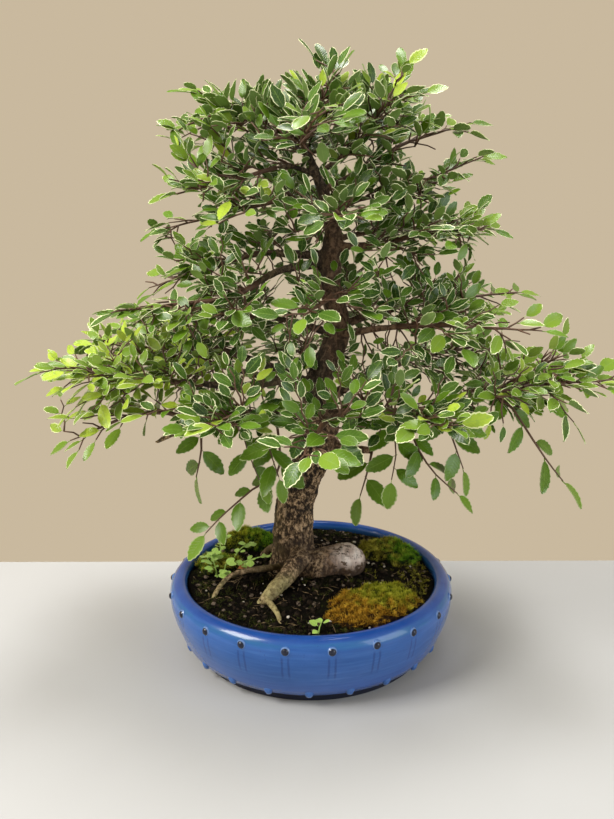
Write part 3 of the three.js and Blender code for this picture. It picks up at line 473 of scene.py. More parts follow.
def grow_shoot(shoot, draw):
    """A hanging shoot. Its leaves are marked by how far along it they are, and smaller towards its end."""
    spray = grow_spray(shoot, draw)
    start, end = spray.nodes[0], spray.nodes[-1]
    for leaf in spray.leaves:
        leaf.far = (leaf.base - start).length / (end - start).length
        leaf.long *= within(SHOOT_SIZE, leaf.far)
    return spray


def fill_spray(branch, spray, draw):
    """The rest of a spray: twigs on the bare side of each node, some that rise, and twigs on twigs."""
    nodes = spray.nodes
    last = len(nodes) - 1
    starts = []
    if nodes[0].z > INNER_TWIGS_FROM:
        inner = [on_path(branch.path, share * branch.split) for share in INNER_TWIGS]
        starts = [(point, nodes[0] - inner[0], 0) for point in inner]
    starts += [(nodes[i], nodes[min(i + 1, last)] - nodes[i - 1], i) for i in range(1, last)]
    fresh = []
    for start, forward, i in starts:
        heading = forward.normalized()
        for turn, lift, share, chance in [(-turn_at(i, last), *BARE_SIDE_TWIG), *RISING_TWIGS]:
            size, angle, rise, luck = draw(), draw(), draw(), draw()
            length = share * branch.reach * (1 - TWIG_TAPER * i / last) * within(TWIG_SIZE, size)
            if luck > chance or length < INTERNODE:
                continue
            lean = turn * TWIG_ANGLE * within(TWIG_LEAN, angle)
            fresh.append(side_twig(start, heading, lean, within(lift, rise), length, draw))
    for twig in spray.twigs + fresh:
        points = twig.points
        for k in range(1, len(points) - 1):
            size, rise, luck = draw(), draw(), draw()
            if luck > SUB_TWIG_CHANCE:
                continue
            heading = (points[k + 1] - points[k - 1]).normalized()
            side = side_of(heading)
            way = heading * SUB_TWIG_LEAN + side * SUB_TWIG_LEAN * -turn_at(k, len(points))
            way += side.cross(heading) * within(SUB_TWIG_LIFT, rise)
            fresh.append(grow_twig(points[k], way.normalized(), within(SUB_TWIG_LONG, size), draw))
    add_twigs(spray, fresh)


def add_twigs(spray, twigs):
    """Adds the twigs that fill the crown, with smaller leaves, but none that leave it or hang below it."""
    for twig in twigs:
        end = twig.points[-1]
        if end.z > CROWN_FOOT + FOOT_SLOPE * max(0, -end.y - FOOT_SLOPE_FROM) and in_crown(end):
            for leaf in twig.leaves:
                height = max(0, crown_height(leaf.base))
                leaf.long *= within(FILL_SIZE, height**4)
                leaf.along = (leaf.along + Vector((0, 0, within(LEAF_RISE, height)))).normalized()
            spray.twigs.append(twig)


def crown_layer(place):
    """The crown at a place in its rows: height, middle and half-widths."""
    height, left, right, front, back = (between(column, place) for column in zip(*CROWN))
    return height, (left + right) / 2, (front + back) / 2, (right - left) / 2, (back - front) / 2


def kept_open(spot):
    """Whether this place lies in one of the crown's openings, or in front of the bare trunk."""
    near = EYE[1] / (EYE[1] - spot.y)
    x, z = spot.x * near, EYE[2] + (spot.z - EYE[2]) * near
    low, high, clear = BARE_TRUNK
    if spot.y < 0 and low < z < high:
        k = sum(row[2] < z for row in TRUNK[1:-1])
        (x_below, _, z_below, _), (x_above, _, z_above, _) = TRUNK[k], TRUNK[k + 1]
        if abs(x - mix_of(x_below, x_above, (z - z_below) / (z_above - z_below))) < clear:
            return True
    return any(((x - a) / wide) ** 2 + ((z - b) / tall) ** 2 < 1 for a, b, wide, tall in OPENINGS)


def in_crown(spot):
    heights = [row[0] for row in CROWN]
    k = sum(height < spot.z for height in heights[1:-1])
    share = clamped((spot.z - heights[k]) / (heights[k + 1] - heights[k]))
    _, x, y, half_x, half_y = crown_layer(k + share)
    skin = abs((spot.x - x) / half_x) ** 3 + abs((spot.y - y) / half_y) ** 3
    return skin < CROWN_SKIN and not kept_open(spot)


def crown_spot(draw):
    """A point in the crown, more often near its skin than in its middle."""
    place, turn, far = draw() * (len(CROWN) - 1), draw() * math.tau, draw() ** 0.4
    height, x, y, half_x, half_y = crown_layer(place)
    return Vector((x + math.cos(turn) * far * half_x, y + math.sin(turn) * far * half_y, height))


def room_of(spot):
    """The room of the crown that a place lies in, by its number along each axis."""
    return tuple(math.floor(number / LEAF_ROOM) for number in spot)


def from_middle(spot):
    return math.hypot(spot.x - CROWN_MIDDLE[0], spot.y - CROWN_MIDDLE[1])


def nearest_finder(points):
    """A search tree that finds the nearest points, by their numbers."""
    tree = kdtree.KDTree(len(points))
    for k, point in enumerate(points):
        tree.insert(point, k)
    tree.balance()
    return tree


def fill_crown(sprays):
    """Grows twigs from the nearest wood into the places of the crown that have no leaves yet."""
    draw = seeded(CROWN_SEED)
    taken, knots = set(), []
    for branch, spray in zip(BRANCHES, sprays):
        inner = [on_path(branch.path, share * branch.split) for share in INNER_KNOTS]
        rows = [inner, spray.nodes] + [twig.points for twig in spray.twigs]
        knots += [(point, spray) for row in rows for point in row]
        taken.update(room_of(middle_of(leaf)) for leaf in leaves_of(spray))
    finder = nearest_finder([point for point, _ in knots])
    grown = 0
    for _ in range(CROWN_TRIES):
        target = crown_spot(draw)
        if room_of(target) in taken:
            continue
        choices = []
        for point, k, far in finder.find_n(target, CROWN_CHOICES):
            if CROWN_REACH[0] < far < CROWN_REACH[1]:
                backward = BACKWARD_COST if from_middle(point) > from_middle(target) + BACKWARD else 1
                hangs = max(0, point.z - target.z) / far
                choices.append((far * backward * (1 + hangs), k))
        if not choices:
            continue
        start, spray = knots[min(choices)[1]]
        twig = twig_between(start, target, draw)
        add_twigs(spray, [twig])
        taken.update(room_of(middle_of(leaf)) for leaf in twig.leaves)
        grown += 1
        if grown == CROWN_TWIGS:
            return


def face_light(leaf, luck):
    """Turns a leaf's upper side towards the outside of the crown and the light in front of it."""
    x, y = leaf.base.xy
    light = Vector((x - LIGHT_MIDDLE[0], y - LIGHT_MIDDLE[1], LIGHT_RISE)).normalized()
    up = square_to(leaf.along, leaf.up * (GROWN_WAY - luck) + light * (LIGHT_WAY + luck))
    if up.length > 0.25:
        leaf.up = up.normalized()


def grown_sprays():
    """All the sprays, first as their rules grow them, then filled up."""
    sprays = {}
    for index, branch in enumerate(BRANCHES + SHOOTS):
        draw = seeded(FIRST_SEED + SEED_STEP * index)
        if branch.reach:
            spray = grow_spray(branch, draw)
            fill_spray(branch, spray, seeded(FILL_SEED + SEED_STEP * index))
        else:
            spray = grow_shoot(branch, draw)
        sprays[branch.name] = spray
    fill_crown([sprays[branch.name] for branch in BRANCHES])
    for index, shoot in enumerate(MORE_SHOOTS):
        grown = grow_shoot(shoot, seeded(CROWN_SEED + SEED_STEP * index + 1))
        sprays[shoot.name].twigs.append(SimpleNamespace(points=grown.nodes, leaves=grown.leaves))
    for index, (name, start, end) in enumerate(MORE_TWIGS):
        draw = seeded(TWIG_SEED + SEED_STEP * index)
        sprays[name].twigs.append(twig_between(Vector(start), Vector(end), draw))
    return sprays


class Value:
    """A socket of a material that takes part in sums like a number."""

    def __init__(self, shader, socket):
        self.shader, self.socket = shader, socket

    def maths(self, operation, *others):
        return self.shader.add("Math", {"operation": operation}, dict(enumerate((self, *others))))

    def __add__(self, other):
        return self.maths("ADD", other)

    __radd__ = __add__

    def __sub__(self, other):
        return self.maths("SUBTRACT", other)

    def __rsub__(self, other):
        return self.shader.add("Math", {"operation": "SUBTRACT"}, {0: other, 1: self})

    def __mul__(self, other):
        return self.maths("MULTIPLY", other)

    def __truediv__(self, other):
        return self.maths("DIVIDE", other)

    def __abs__(self):
        return self.maths("ABSOLUTE")

    def step(self, low, high):
        """0 below low and 1 above high, with a soft step between. High may be the lower one."""
        sockets = {0: self, 1: low, 2: high}
        return self.shader.add("MapRange", {"interpolation_type": "SMOOTHSTEP"}, sockets)


def paint(colour):
    """What a colour socket takes: a socket's value, or a colour of three numbers made opaque."""
    return (*colour, 1) if isinstance(colour, tuple) else colour


class Shader:
    """One material, built from nodes."""

    def __init__(self, name):
        self.material = bpy.data.materials.new(name)
        self.material.use_nodes = True
        self.tree = self.material.node_tree
        self.tree.nodes.clear()

    def add(self, kind, settings=None, sockets=None, output=0):
        node = self.tree.nodes.new("ShaderNode" + kind)
        for name, value in (settings or {}).items():
            if name == "stops":
                while len(node.color_ramp.elements) < len(value):
                    node.color_ramp.elements.new(1)
                for stop, (place, colour) in zip(node.color_ramp.elements, value):
                    stop.position, stop.color = place, paint(colour)
            elif name == "steps":
                node.color_ramp.interpolation = value
            else:
                setattr(node, name, value)
        for name, value in (sockets or {}).items():
            if isinstance(value, Value):
                self.tree.links.new(value.socket, node.inputs[name])
            else:
                node.inputs[name].default_value = value
        return Value(self, node.outputs[output]) if node.outputs else None

    def place(self, stretch=(1, 1, 1)):
        """Millimetres round the pot's axis, each axis multiplied by its stretch."""
        here = self.add("TexCoord", output="Object")
        centred = self.add("VectorMath", {"operation": "SUBTRACT"}, {0: here, 1: POT_AXIS})
        scaled = {0: centred, 1: [number / MM for number in stretch]}
        return self.add("VectorMath", {"operation": "MULTIPLY"}, scaled)

    def parts(self, vector):
        return [self.add("SeparateXYZ", sockets={0: vector}, output=k) for k in range(3)]

    def mark(self, name):
        """A number that the piece's mesh holds at each point."""
        return self.add("Attribute", {"attribute_name": name}, output=2)

    def noise(self, size, detail=3, roughness=0.55, stretch=(1, 1, 1), at=None):
        """A cloudy pattern with lumps of this size. It lies in millimetres unless it is told where."""
        sockets = {"Vector": at or self.place(stretch), "Scale": 1 / size, "Detail": detail,
                   "Roughness": roughness}
        return self.add("TexNoise", None, sockets)

    def ramp(self, value, *stops, steps="LINEAR"):
        return self.add("ValToRGB", {"stops": stops, "steps": steps}, {0: value})

    def mix(self, share, first, second):
        return self.add("Mix", {"data_type": "RGBA"}, {0: share, 6: paint(first), 7: paint(second)}, 2)

    def surface(self, colour, roughness, relief=None, depth=0.0, **constants):
        """Finishes the material. Relief is a height from 0 to 1, and depth its size in millimetres."""
        sockets = {"Base Color": colour, "Roughness": roughness}
        sockets.update({name.replace("_", " "): value for name, value in constants.items()})
        if relief:
            bump = {"Strength": 1.0, "Distance": depth * MM, "Height": relief}
            sockets["Normal"] = self.add("Bump", None, bump)
        self.add("OutputMaterial", None, {"Surface": self.add("BsdfPrincipled", None, sockets)})
        return self.material


def across_blade(u):
    """How far a point of a leaf lies from its rib, 1 at the blade's edge."""
    return abs(((u * (2 * LEAF_TILES)).maths("FRACT") - 0.5) / TILE_HALF)


VEINS, VEIN_SLANT = 9, 1.7
# Greens of the four rows by age; the darkness of the oldest row is partly painted shade inside the crown
LEAF_GREENS = [(0.0, (0.024, 0.066, 0.006)), (0.25, (0.064, 0.142, 0.011)),
               (0.5, (0.18, 0.3, 0.022)), (0.75, (0.42, 0.57, 0.046))]
BLUISH_GREEN, PALE_PATCH, VEIN_GREEN = (0.036, 0.092, 0.022), (0.14, 0.25, 0.04), (0.2, 0.32, 0.06)
PLAIN_GREEN, CREAM, UNDER_GREEN = (0.12, 0.24, 0.004), (0.86, 0.9, 0.56), (0.22, 0.33, 0.09)


def elm_leaf():
    look = Shader("elm_leaf")
    place = look.add("UVMap", {"uv_map": "OFBake"})
    u, v = look.parts(place)[:2]
    column, row = u * LEAF_TILES, v * LEAF_TILES
    under = (u * (2 * LEAF_TILES)).maths("FLOOR").maths("MODULO", 2)
    across = across_blade(u)
    along = (row.maths("FRACT") - TILE_EDGE) / TILE_LONG
    age = (row.maths("FLOOR") + 0.5) / LEAF_TILES
    tile = look.add("CombineXYZ", None, {0: column.maths("FLOOR"), 1: row.maths("FLOOR"), 2: under})
    tone = look.add("TexWhiteNoise", {"noise_dimensions": "3D"}, {"Vector": tile})
    grain = look.noise(0.012, 2, at=place)
    blotch = look.noise(0.05, 2, at=place)
    green = look.ramp(age, *LEAF_GREENS, steps="CONSTANT")
    green = look.mix(tone * 0.4, green, BLUISH_GREEN)
    green = look.mix(blotch.step(0.5, 0.66) * 0.35, green, PALE_PATCH)
    veins = (along * VEINS - across * VEIN_SLANT).maths("PINGPONG", 0.5)
    vein = veins.step(0.09, 0.02) * 0.28 + across.step(0.07, 0.03) * 0.5
    green = look.mix(vein, green, VEIN_GREEN)
    edge = across + (grain - 0.5) * 0.26 + along.step(0.8, 1.0) * 0.35 + (tone - 0.5) * 0.24
    plain = column.maths("GREATER_THAN", PLAIN_COLUMN)
    green = look.mix(plain * 0.5, green, PLAIN_GREEN)
    cream = edge.step(0.87, 0.965) * (0.98 - age.step(0.8, 0.9) * 0.5) * (1 - plain * 0.7)
    upper = look.mix(cream, green, CREAM)
    colour = look.mix(under, upper, look.mix(0.55, upper, UNDER_GREEN))
    relief = 1 - veins.step(0.16, 0.0) * 0.5
    return look.surface(colour, 0.27 + under * 0.3, relief, 0.15, Specular_IOR_Level=0.34)


def young_twig():
    look = Shader("elm_twig")
    tint = look.noise(0.012, at=look.add("UVMap", {"uv_map": "OFBake"}))
    colour = look.ramp(tint, (0.3, (0.04, 0.02, 0.011)), (0.55, (0.105, 0.05, 0.026)),
                       (0.75, (0.2, 0.11, 0.055)))
    return look.surface(colour, 0.62)


# Bark: from where to where along an axis each tone sets in
CROWN_SHADE_HEIGHTS, DAMP_BARK, LOWEST_DAMP = (186, 250), (122, 80), (86, 78)
ALGAE_LEFT, ALGAE_FRONT = (-16, -34), (-22, -36)
FORK_FRONT, FORK_HEIGHT = (-30, -48), (84, 74)
ROOT_SKIN, ROOT_SHADE_BELOW = (8, 20), (78, 62)
PALE_SHEEN_REACH = (19.5, 8)
OLD_BARK = [(0.44, (0.008, 0.004, 0.002)), (0.485, (0.075, 0.046, 0.025)),
            (0.525, (0.31, 0.2, 0.108)), (0.58, (0.78, 0.56, 0.35))]
# Pale bare root, whose lightest tones also make the painted sheen
PALE_ROOT_AND_SHEEN = [(0.32, (0.42, 0.31, 0.26)), (0.5, (0.68, 0.57, 0.52)), (0.7, (0.96, 0.89, 0.86))]
# The first of these, the branches' dark brown, is painted shade of the crown
CROWN_SHADE_BROWN, DAMP_BROWN, ALGAE_GREEN = (0.022, 0.015, 0.01), (0.038, 0.02, 0.01), (0.22, 0.175, 0.07)
FORK_GREENS = (0.26, 0.22, 0.085), (0.43, 0.38, 0.18)
SKIN_BROWNS = (0.085, 0.046, 0.026), (0.25, 0.15, 0.092)
# The first of these, the dark brown under the big root, is painted shade
UNDER_SHADE_BROWN, FLECK_BROWN = (0.036, 0.02, 0.011), (0.034, 0.019, 0.012)
# The second of these, the fissures' dark brown, is partly the bark's own colour and partly painted shade
WRINKLE_BROWN, FISSURE_AND_SHADE_BROWN = (0.11, 0.078, 0.06), (0.018, 0.012, 0.008)


def elm_bark():
    """Fissured bark. The mesh says where it is old and rough, and where it is a pale smooth root."""
    look = Shader("elm_bark")
    pale, fissure = look.mark("pale"), look.mark("fissure")
    x, y, z = look.parts(look.place())
    fine = look.noise(3.2, 4, 0.74, (1, 1, 0.7))
    coarse = look.noise(10, 4, stretch=(1, 1, 0.7))
    broad = look.noise(26)
    bark = look.ramp(fine * 0.72 + coarse * 0.28, *OLD_BARK)
    # Painted shade: the bark turns dark upwards into the crown, which shades it
    bark = look.mix(z.step(*CROWN_SHADE_HEIGHTS) * 0.84, bark, CROWN_SHADE_BROWN)
    damp = z.step(*DAMP_BARK) * (0.55 + broad.step(0.42, 0.6) * 0.45)
    bark = look.mix(damp * 0.78, bark, DAMP_BROWN)
    algae = x.step(*ALGAE_LEFT) * broad.step(0.4, 0.62) + y.step(*ALGAE_FRONT) * z.step(*LOWEST_DAMP) * 0.8
    bark = look.mix(algae * 0.3, bark, ALGAE_GREEN)
    fork = y.step(*FORK_FRONT) * z.step(*FORK_HEIGHT)
    fork = fork * fine.step(0.38, 0.43) * (0.45 + coarse.step(0.6, 0.4) * 0.5)
    bark = look.mix(fork, bark, look.mix(fine.step(0.4, 0.6), *FORK_GREENS))
    skin = x.step(*ROOT_SKIN) * (0.55 + coarse.step(0.42, 0.58) * 0.3)
    bark = look.mix(skin, bark, look.mix(fine.step(0.42, 0.58), *SKIN_BROWNS))
    # Painted shade: the lower part of the big root and its ball is darkened above the soil
    under = x.step(*ROOT_SKIN) * z.step(*ROOT_SHADE_BELOW)
    bark = look.mix(under * 0.85, bark, UNDER_SHADE_BROWN)
    bare = look.ramp(coarse, *PALE_ROOT_AND_SHEEN)
    across, along, up = x - PALE_SHEEN_SPOT[0], y - PALE_SHEEN_SPOT[1], z - PALE_SHEEN_SPOT[2]
    far = (across * across * 0.6 + along * along * 0.6 + up * up).maths("SQRT") + (coarse - 0.5) * 14
    flecks = look.noise(5.0, 5, 0.75, (0.7, 1, 1)) + far * 0.006
    bare = look.mix(flecks.step(0.585, 0.625) * 0.95, bare, FLECK_BROWN)
    wrinkle = look.noise(2.2, 2, stretch=(1.3, 0.3, 0.3)).step(0.57, 0.64)
    bare = look.mix(wrinkle * 0.5, bare, WRINKLE_BROWN)
    # The pale spot: the root's pale bark, brightened by a painted sheen, and less so in the painted shade
    # below
    pale_and_sheen = far.step(*PALE_SHEEN_REACH) * (1 - under * 0.8)
    colour = look.mix(pale * 0.12 * (1 - pale_and_sheen) + pale_and_sheen * 0.95, bark, bare)
    # Darker in the fissures: partly the bark's own dark colour and partly painted shade of the recesses
    colour = look.mix(fissure * 0.7, colour, FISSURE_AND_SHADE_BROWN)
    relief = fine * 0.7 + coarse * 0.3
    return look.surface(colour, 0.72 - pale_and_sheen * 0.34, relief, 1.7, Specular_IOR_Level=0.3)


# Glaze: from which height to which each tone sets in, how far from a stud its runs lie, and colours
GLAZE_POOL, TEAL_FROM, TEAL_TO, RIM_FROM = (34, 12), (56.5, 60), (64.5, 62), (61.5, 64.5)
RUN_FROM, RUN_TO, RUN_OUT, RUN_IN = (28, 36), (54, 50), (4.1, 2.9), (1.2, 2.4)
INSIDE_REACH, INSIDE_BELOW, FOOT_BELOW = (115.5, 114.2), (63, 58), (10.4, 8.6)
BODY_BLUES = [(0.3, (0.017, 0.08, 0.3)), (0.55, (0.023, 0.1, 0.35)), (0.8, (0.04, 0.138, 0.41))]
RIM_BLUES = (0.009, 0.054, 0.27), (0.02, 0.084, 0.335)
CLOUD_BLUE, POOL_BLUE, TEAL = (0.038, 0.125, 0.42), (0.036, 0.098, 0.39), (0.014, 0.13, 0.25)
RUN_BLUE, CRACKLE_BLUE, SPECK_BLUE = (0.008, 0.028, 0.15), (0.12, 0.24, 0.5), (0.01, 0.022, 0.08)
# The first of these, the dark blue inside the pot, is painted shade
INSIDE_SHADE_BLUE, FOOT_BLUE = (0.01, 0.028, 0.08), (0.006, 0.009, 0.028)
STUD_BLUES, STUD_HALO = ((0.018, 0.08, 0.32), (0.06, 0.16, 0.43)), (0.2, 0.31, 0.52)
BRONZES = (0.003, 0.005, 0.014), (0.014, 0.02, 0.045)


def blue_glaze():
    """Brushed cobalt glaze: teal in the groove under the rim, two dark runs beside each stud."""
    look = Shader("blue_glaze")
    x, y, z = look.parts(look.place())
    beat = (x.maths("ARCTAN2", y * -1.0) - FIRST_STUD) / STUD_STEP
    off = abs(beat - (beat + 0.5).maths("FLOOR")) * (STUD_STEP * STUD_OUT)
    brush = look.noise(2.2, 4, 0.6, (0.06, 0.06, 1))
    cloud = look.noise(34)
    speck = look.noise(1.6, 2, 0.6)
    blue = look.ramp(brush, *BODY_BLUES)
    blue = look.mix(cloud.step(0.4, 0.68) * 0.4, blue, CLOUD_BLUE)
    blue = look.mix(z.step(*GLAZE_POOL) * 0.55, blue, POOL_BLUE)
    teal = z.step(*TEAL_FROM) * z.step(*TEAL_TO) * look.noise(6, stretch=(0.2, 0.2, 1)).step(0.35, 0.65)
    blue = look.mix(teal * 0.45, blue, TEAL)
    rim = z.step(*RIM_FROM)
    blue = look.mix(rim, blue, look.mix(cloud.step(0.35, 0.7), *RIM_BLUES))
    wobble = (look.noise(9, 2) - 0.5) * 2.4
    run = (off + wobble * 0.6).step(*RUN_OUT) * (off + wobble * 0.5).step(*RUN_IN)
    run = run * (z + wobble * 3).step(*RUN_FROM) * z.step(*RUN_TO)
    blue = look.mix(run * 0.5, blue, RUN_BLUE)
    crackle = (brush * 0.5 + cloud * 0.5).step(0.6, 0.72) * (1 - rim)
    blue = look.mix(crackle * 0.22, blue, CRACKLE_BLUE)
    blue = look.mix(speck.step(0.68, 0.74) * 0.4, blue, SPECK_BLUE)
    # Painted shade: the inner wall below the rim is darkened, where the rim shades it
    inside = (x * x + y * y).maths("SQRT").step(*INSIDE_REACH) * z.step(*INSIDE_BELOW)
    blue = look.mix(inside * 0.7, blue, INSIDE_SHADE_BLUE)
    foot = z.step(*FOOT_BELOW)
    blue = look.mix(foot, blue, FOOT_BLUE)
    relief = brush * 0.5 + cloud * 0.3 + speck * 0.2
    return look.surface(blue, 0.20 + foot * 0.5 + speck * 0.06, relief, 0.12,
                        Specular_IOR_Level=0.25, Coat_Weight=0.34, Coat_Roughness=0.03)


def stud_glaze():
    """Studs and drips: the glaze is thin and bronze on the crown of each, and pools pale round it."""
    look = Shader("stud_glaze")
    crown = look.mark("crown")
    mottle = look.noise(1.8)
    colour = look.mix(crown.step(0.42, 0.58), look.mix(mottle, *STUD_BLUES), look.mix(mottle, *BRONZES))
    halo = crown.step(0.16, 0.3) * crown.step(0.55, 0.42)
    colour = look.mix(halo * 0.5, colour, STUD_HALO)
    return look.surface(colour, 0.16, mottle, 0.15,
                        Specular_IOR_Level=0.25, Coat_Weight=0.3, Coat_Roughness=0.04)


def soil_look():
    look = Shader("potting_soil")
    grain = look.noise(2.6, 5, 0.7)
    colour = look.ramp(grain, (0.36, (0.001, 0.001, 0.001)), (0.54, (0.004, 0.003, 0.002)),
                       (0.72, (0.02, 0.013, 0.008)))
    algae = look.noise(20).step(0.5, 0.7)
    colour = look.mix(algae * 0.5, colour, (0.009, 0.011, 0.003))
    return look.surface(colour, 0.95, grain, 1.8, Specular_IOR_Level=0.06)


def crumb_look(name, dark, light):
    look = Shader(name)
    colour = look.ramp(look.noise(3.0, 2), (0.35, dark), (0.65, light))
    return look.surface(colour, 0.9, look.noise(0.8, 2), 0.3, Specular_IOR_Level=0.12)


def moss_look(name, main, other, spot, reach):
    """Moss in two mixtures of colours, the other one round a spot. It is painted by its place on the
    soil, seen from above, and brighter towards the tips of its shoots, as the mesh says."""
    look = Shader(name)
    here = look.place((1, 1, 0))
    x, y = look.parts(here)[:2]
    shade = look.noise(5.5, 3, 0.7, at=here) * 0.75 + (look.mark("tip") - 0.5) * 0.34 + 0.125
    aside, forward = x - spot[0], y - spot[1]
    far = (aside * aside + forward * forward).maths("SQRT") + (look.noise(8, 4, at=here) - 0.5) * 80
    mixtures = [look.ramp(shade, *zip((0.34, 0.46, 0.57, 0.7), colours)) for colours in (main, other)]
    colour = look.mix(far.step(reach + 14, reach - 14), *mixtures)
    return look.surface(colour, 0.85, Specular_IOR_Level=0.12)


def soft_leaf(name, dark, light, rim):
    """A thin leaf with a pale rib and rim."""
    look = Shader(name)
    place = look.add("UVMap", {"uv_map": "OFBake"})
    across = across_blade(look.parts(place)[0])
    colour = look.mix(look.noise(0.03, 2, at=place), dark, light)
    colour = look.mix(across.step(0.1, 0.0) * 0.5 + across.step(0.75, 0.95) * 0.3, colour, rim)
    return look.surface(colour, 0.5, Specular_IOR_Level=0.4)


def screen_plastic():
    look = Shader("screen_plastic")
    wear = look.noise(3)
    return look.surface(look.mix(wear, (0.012, 0.012, 0.012), (0.03, 0.03, 0.03)), 0.5, wear, 0.1)


def floor_paint():
    look = Shader("floor_paint")
    return look.surface(look.mix(look.noise(300), (0.395, 0.405, 0.415), (0.425, 0.435, 0.445)), 0.75)


def in_scene(name, data):
    """A new object at the origin that holds a mesh, a curve, a light or a camera."""
    made = bpy.data.objects.new(name, data)
    bpy.context.scene.collection.objects.link(made)
    return made


def mesh_of(form, name):
    mesh = bpy.data.meshes.new(name)
    form.to_mesh(mesh)
    form.free()
    return mesh


def form_of(mesh):
    form = bmesh.new()
    form.from_mesh(mesh)
    return form


def painted(name, form, *looks):
    """An object of a form in millimetres round the pot's axis."""
    mesh = mesh_of(form, name)
    mesh.transform(TO_FRAME)
    for look in looks:
        mesh.materials.append(look)
    return in_scene(name, mesh)


def piece(name, form, looks, stands_for=()):
    made = painted(name, form, *looks)
    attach(made, "root")
    if stands_for:
        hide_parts(*stands_for)


def evaluated(holder):
    """The mesh that an object's curve or modifiers give. The object itself is removed."""
    bpy.context.view_layer.update()
    mesh = bpy.data.meshes.new_from_object(holder.evaluated_get(bpy.context.evaluated_depsgraph_get()))
    bpy.data.objects.remove(holder)
    return mesh


def smoothed(form):
    for face in form.faces:
        face.smooth = True
    return form


def sharpened(form, angle):
    """Keeps the edges sharp where a form bends by more than this angle."""
    for edge in form.edges:
        if edge.calc_face_angle(0) > angle:
            edge.smooth = False


def rotation(angle, axis="Z"):
    return Matrix.Rotation(angle, 4, axis)


def any_turn(rng):
    return rotation(rng.uniform(0, math.tau))


def placed(spot, turn, size=(1, 1, 1)):
    """The matrix that sizes a form, turns it and moves it to a spot."""
    return Matrix.Translation(spot) @ turn @ Matrix.Diagonal((*size, 1))


def moved(form, matrix, verts):
    bmesh.ops.transform(form, matrix=matrix, verts=verts)


def added(form, part, matrix):
    """Adds a copy of a mesh to a form, moved by a matrix."""
    count = len(form.verts)
    form.from_mesh(part)
    form.verts.ensure_lookup_table()
    moved(form, matrix, form.verts[count:])


def corners_of(form):
    return [corner for face in form.faces for corner in face.loops]


def ball_in(form, around, up):
    """The vertices of a ball of radius 1 that is added to a form."""
    return bmesh.ops.create_uvsphere(form, u_segments=around, v_segments=up, radius=1)["verts"]


def spike_in(form, foot, tip, long):
    """The vertices of a three-sided spike along Z that is added to a form."""
    return bmesh.ops.create_cone(form, cap_ends=True, segments=3, radius1=foot, radius2=tip,
                                 depth=long)["verts"]


def turned_form(outline, steps, closed=False):
    """A form turned round the pot's axis from its outline of radius and height."""
    form = bmesh.new()
    verts = [form.verts.new((radius, 0, height)) for radius, height in outline]
    ends = verts[1:] + verts[:1] if closed else verts[1:]
    edges = [form.edges.new(pair) for pair in zip(verts, ends)]
    bmesh.ops.spin(form, geom=verts + edges, cent=(0, 0, 0), axis=(0, 0, 1), angle=math.tau,
                   steps=steps, use_merge=True)
    bmesh.ops.remove_doubles(form, verts=form.verts, dist=1e-4)
    bmesh.ops.recalc_face_normals(form, faces=form.faces)
    return smoothed(form)


def tube_mesh(limbs, rounds):
    """Closed round tubes along rows of points, each point with its radius."""
    curve = bpy.data.curves.new("limbs", "CURVE")
    curve.dimensions = "3D"
    curve.bevel_depth = 1
    curve.bevel_resolution = rounds
    curve.use_fill_caps = True
    for points, radii in limbs:
        line = curve.splines.new("POLY")
        line.points.add(len(points) - 1)
        for knot, point, radius in zip(line.points, points, radii):
            knot.co, knot.radius = (*point, 1), radius
    form = form_of(evaluated(in_scene("limbs", curve)))
    bmesh.ops.remove_doubles(form, verts=form.verts, dist=1e-4)
    return mesh_of(form, "limbs")


def stems_form(limbs):
    """Thin round stems that leaves can be added to, with the leaves' map."""
    form = bmesh.new()
    form.loops.layers.uv.new("OFBake")
    stems = tube_mesh(limbs, 1)
    stems.uv_layers[0].name = "OFBake"
    form.from_mesh(stems)
    return smoothed(form)


def pot_form():
    """The pot: foot, outside, rolled rim, inside and floor, round the drainage hole."""
    outline = [(HOLE_RADIUS, FLOOR_UNDER), *POT_FOOT, *POT_OUTSIDE, *POT_INSIDE, (HOLE_RADIUS, FLOOR_TOP)]
    form = turned_form(outline, 144, closed=True)
    sharpened(form, 0.75)
    return form


def studs_form():
    """Round studs under the rim and glaze drips at the lower edge, half a step apart."""
    form = bmesh.new()
    crown = form.verts.layers.float.new("crown")
    for k in range(STUDS):
        turn = rotation(FIRST_STUD + k * STUD_STEP - math.pi / 2)
        tilt = rotation(math.pi / 2 - STUD_TILT, "Y")
        stud = ball_in(form, 20, 14)
        for vert in stud:
            rise = max(0, vert.co.z)
            vert[crown] = rise
            flare = 1.28 - 0.28 * min(1, rise * 2.2)
            x, y, z = vert.co
            vert.co = Vector((x * STUD_RADIUS * flare, y * STUD_RADIUS * flare, z * STUD_RISE))
        moved(form, turn @ placed((STUD_OUT - 0.4, 0, STUD_HEIGHT), tilt), stud)
        turn = rotation(FIRST_STUD + (k + 0.5) * STUD_STEP - math.pi / 2)
        drip = ball_in(form, 14, 10)
        for vert in drip:
            x, y, rise = vert.co
            below = rise < 0
            vert[crown] = 0.3 * below
            wide, tall = (DRIP_WIDTH, 3.6) if below else (DRIP_WIDTH + 2.6 * rise, 5.5)
            vert.co = Vector((x * DRIP_DEPTH, y * wide, rise * tall))
        moved(form, turn @ placed((DRIP_OUT, 0, DRIP_HEIGHT), rotation(DRIP_TILT, "Y")), drip)
    return smoothed(form)


def soil_height(x, y):
    share = math.hypot(x, y) / SOIL_RADIUS
    hump = 1.3 * math.sin(x / 11) * math.cos(y / 13) + 0.7 * math.sin(x / 7 + y / 9)
    return SOIL_EDGE + SOIL_RISE * (1 - share * share) + hump


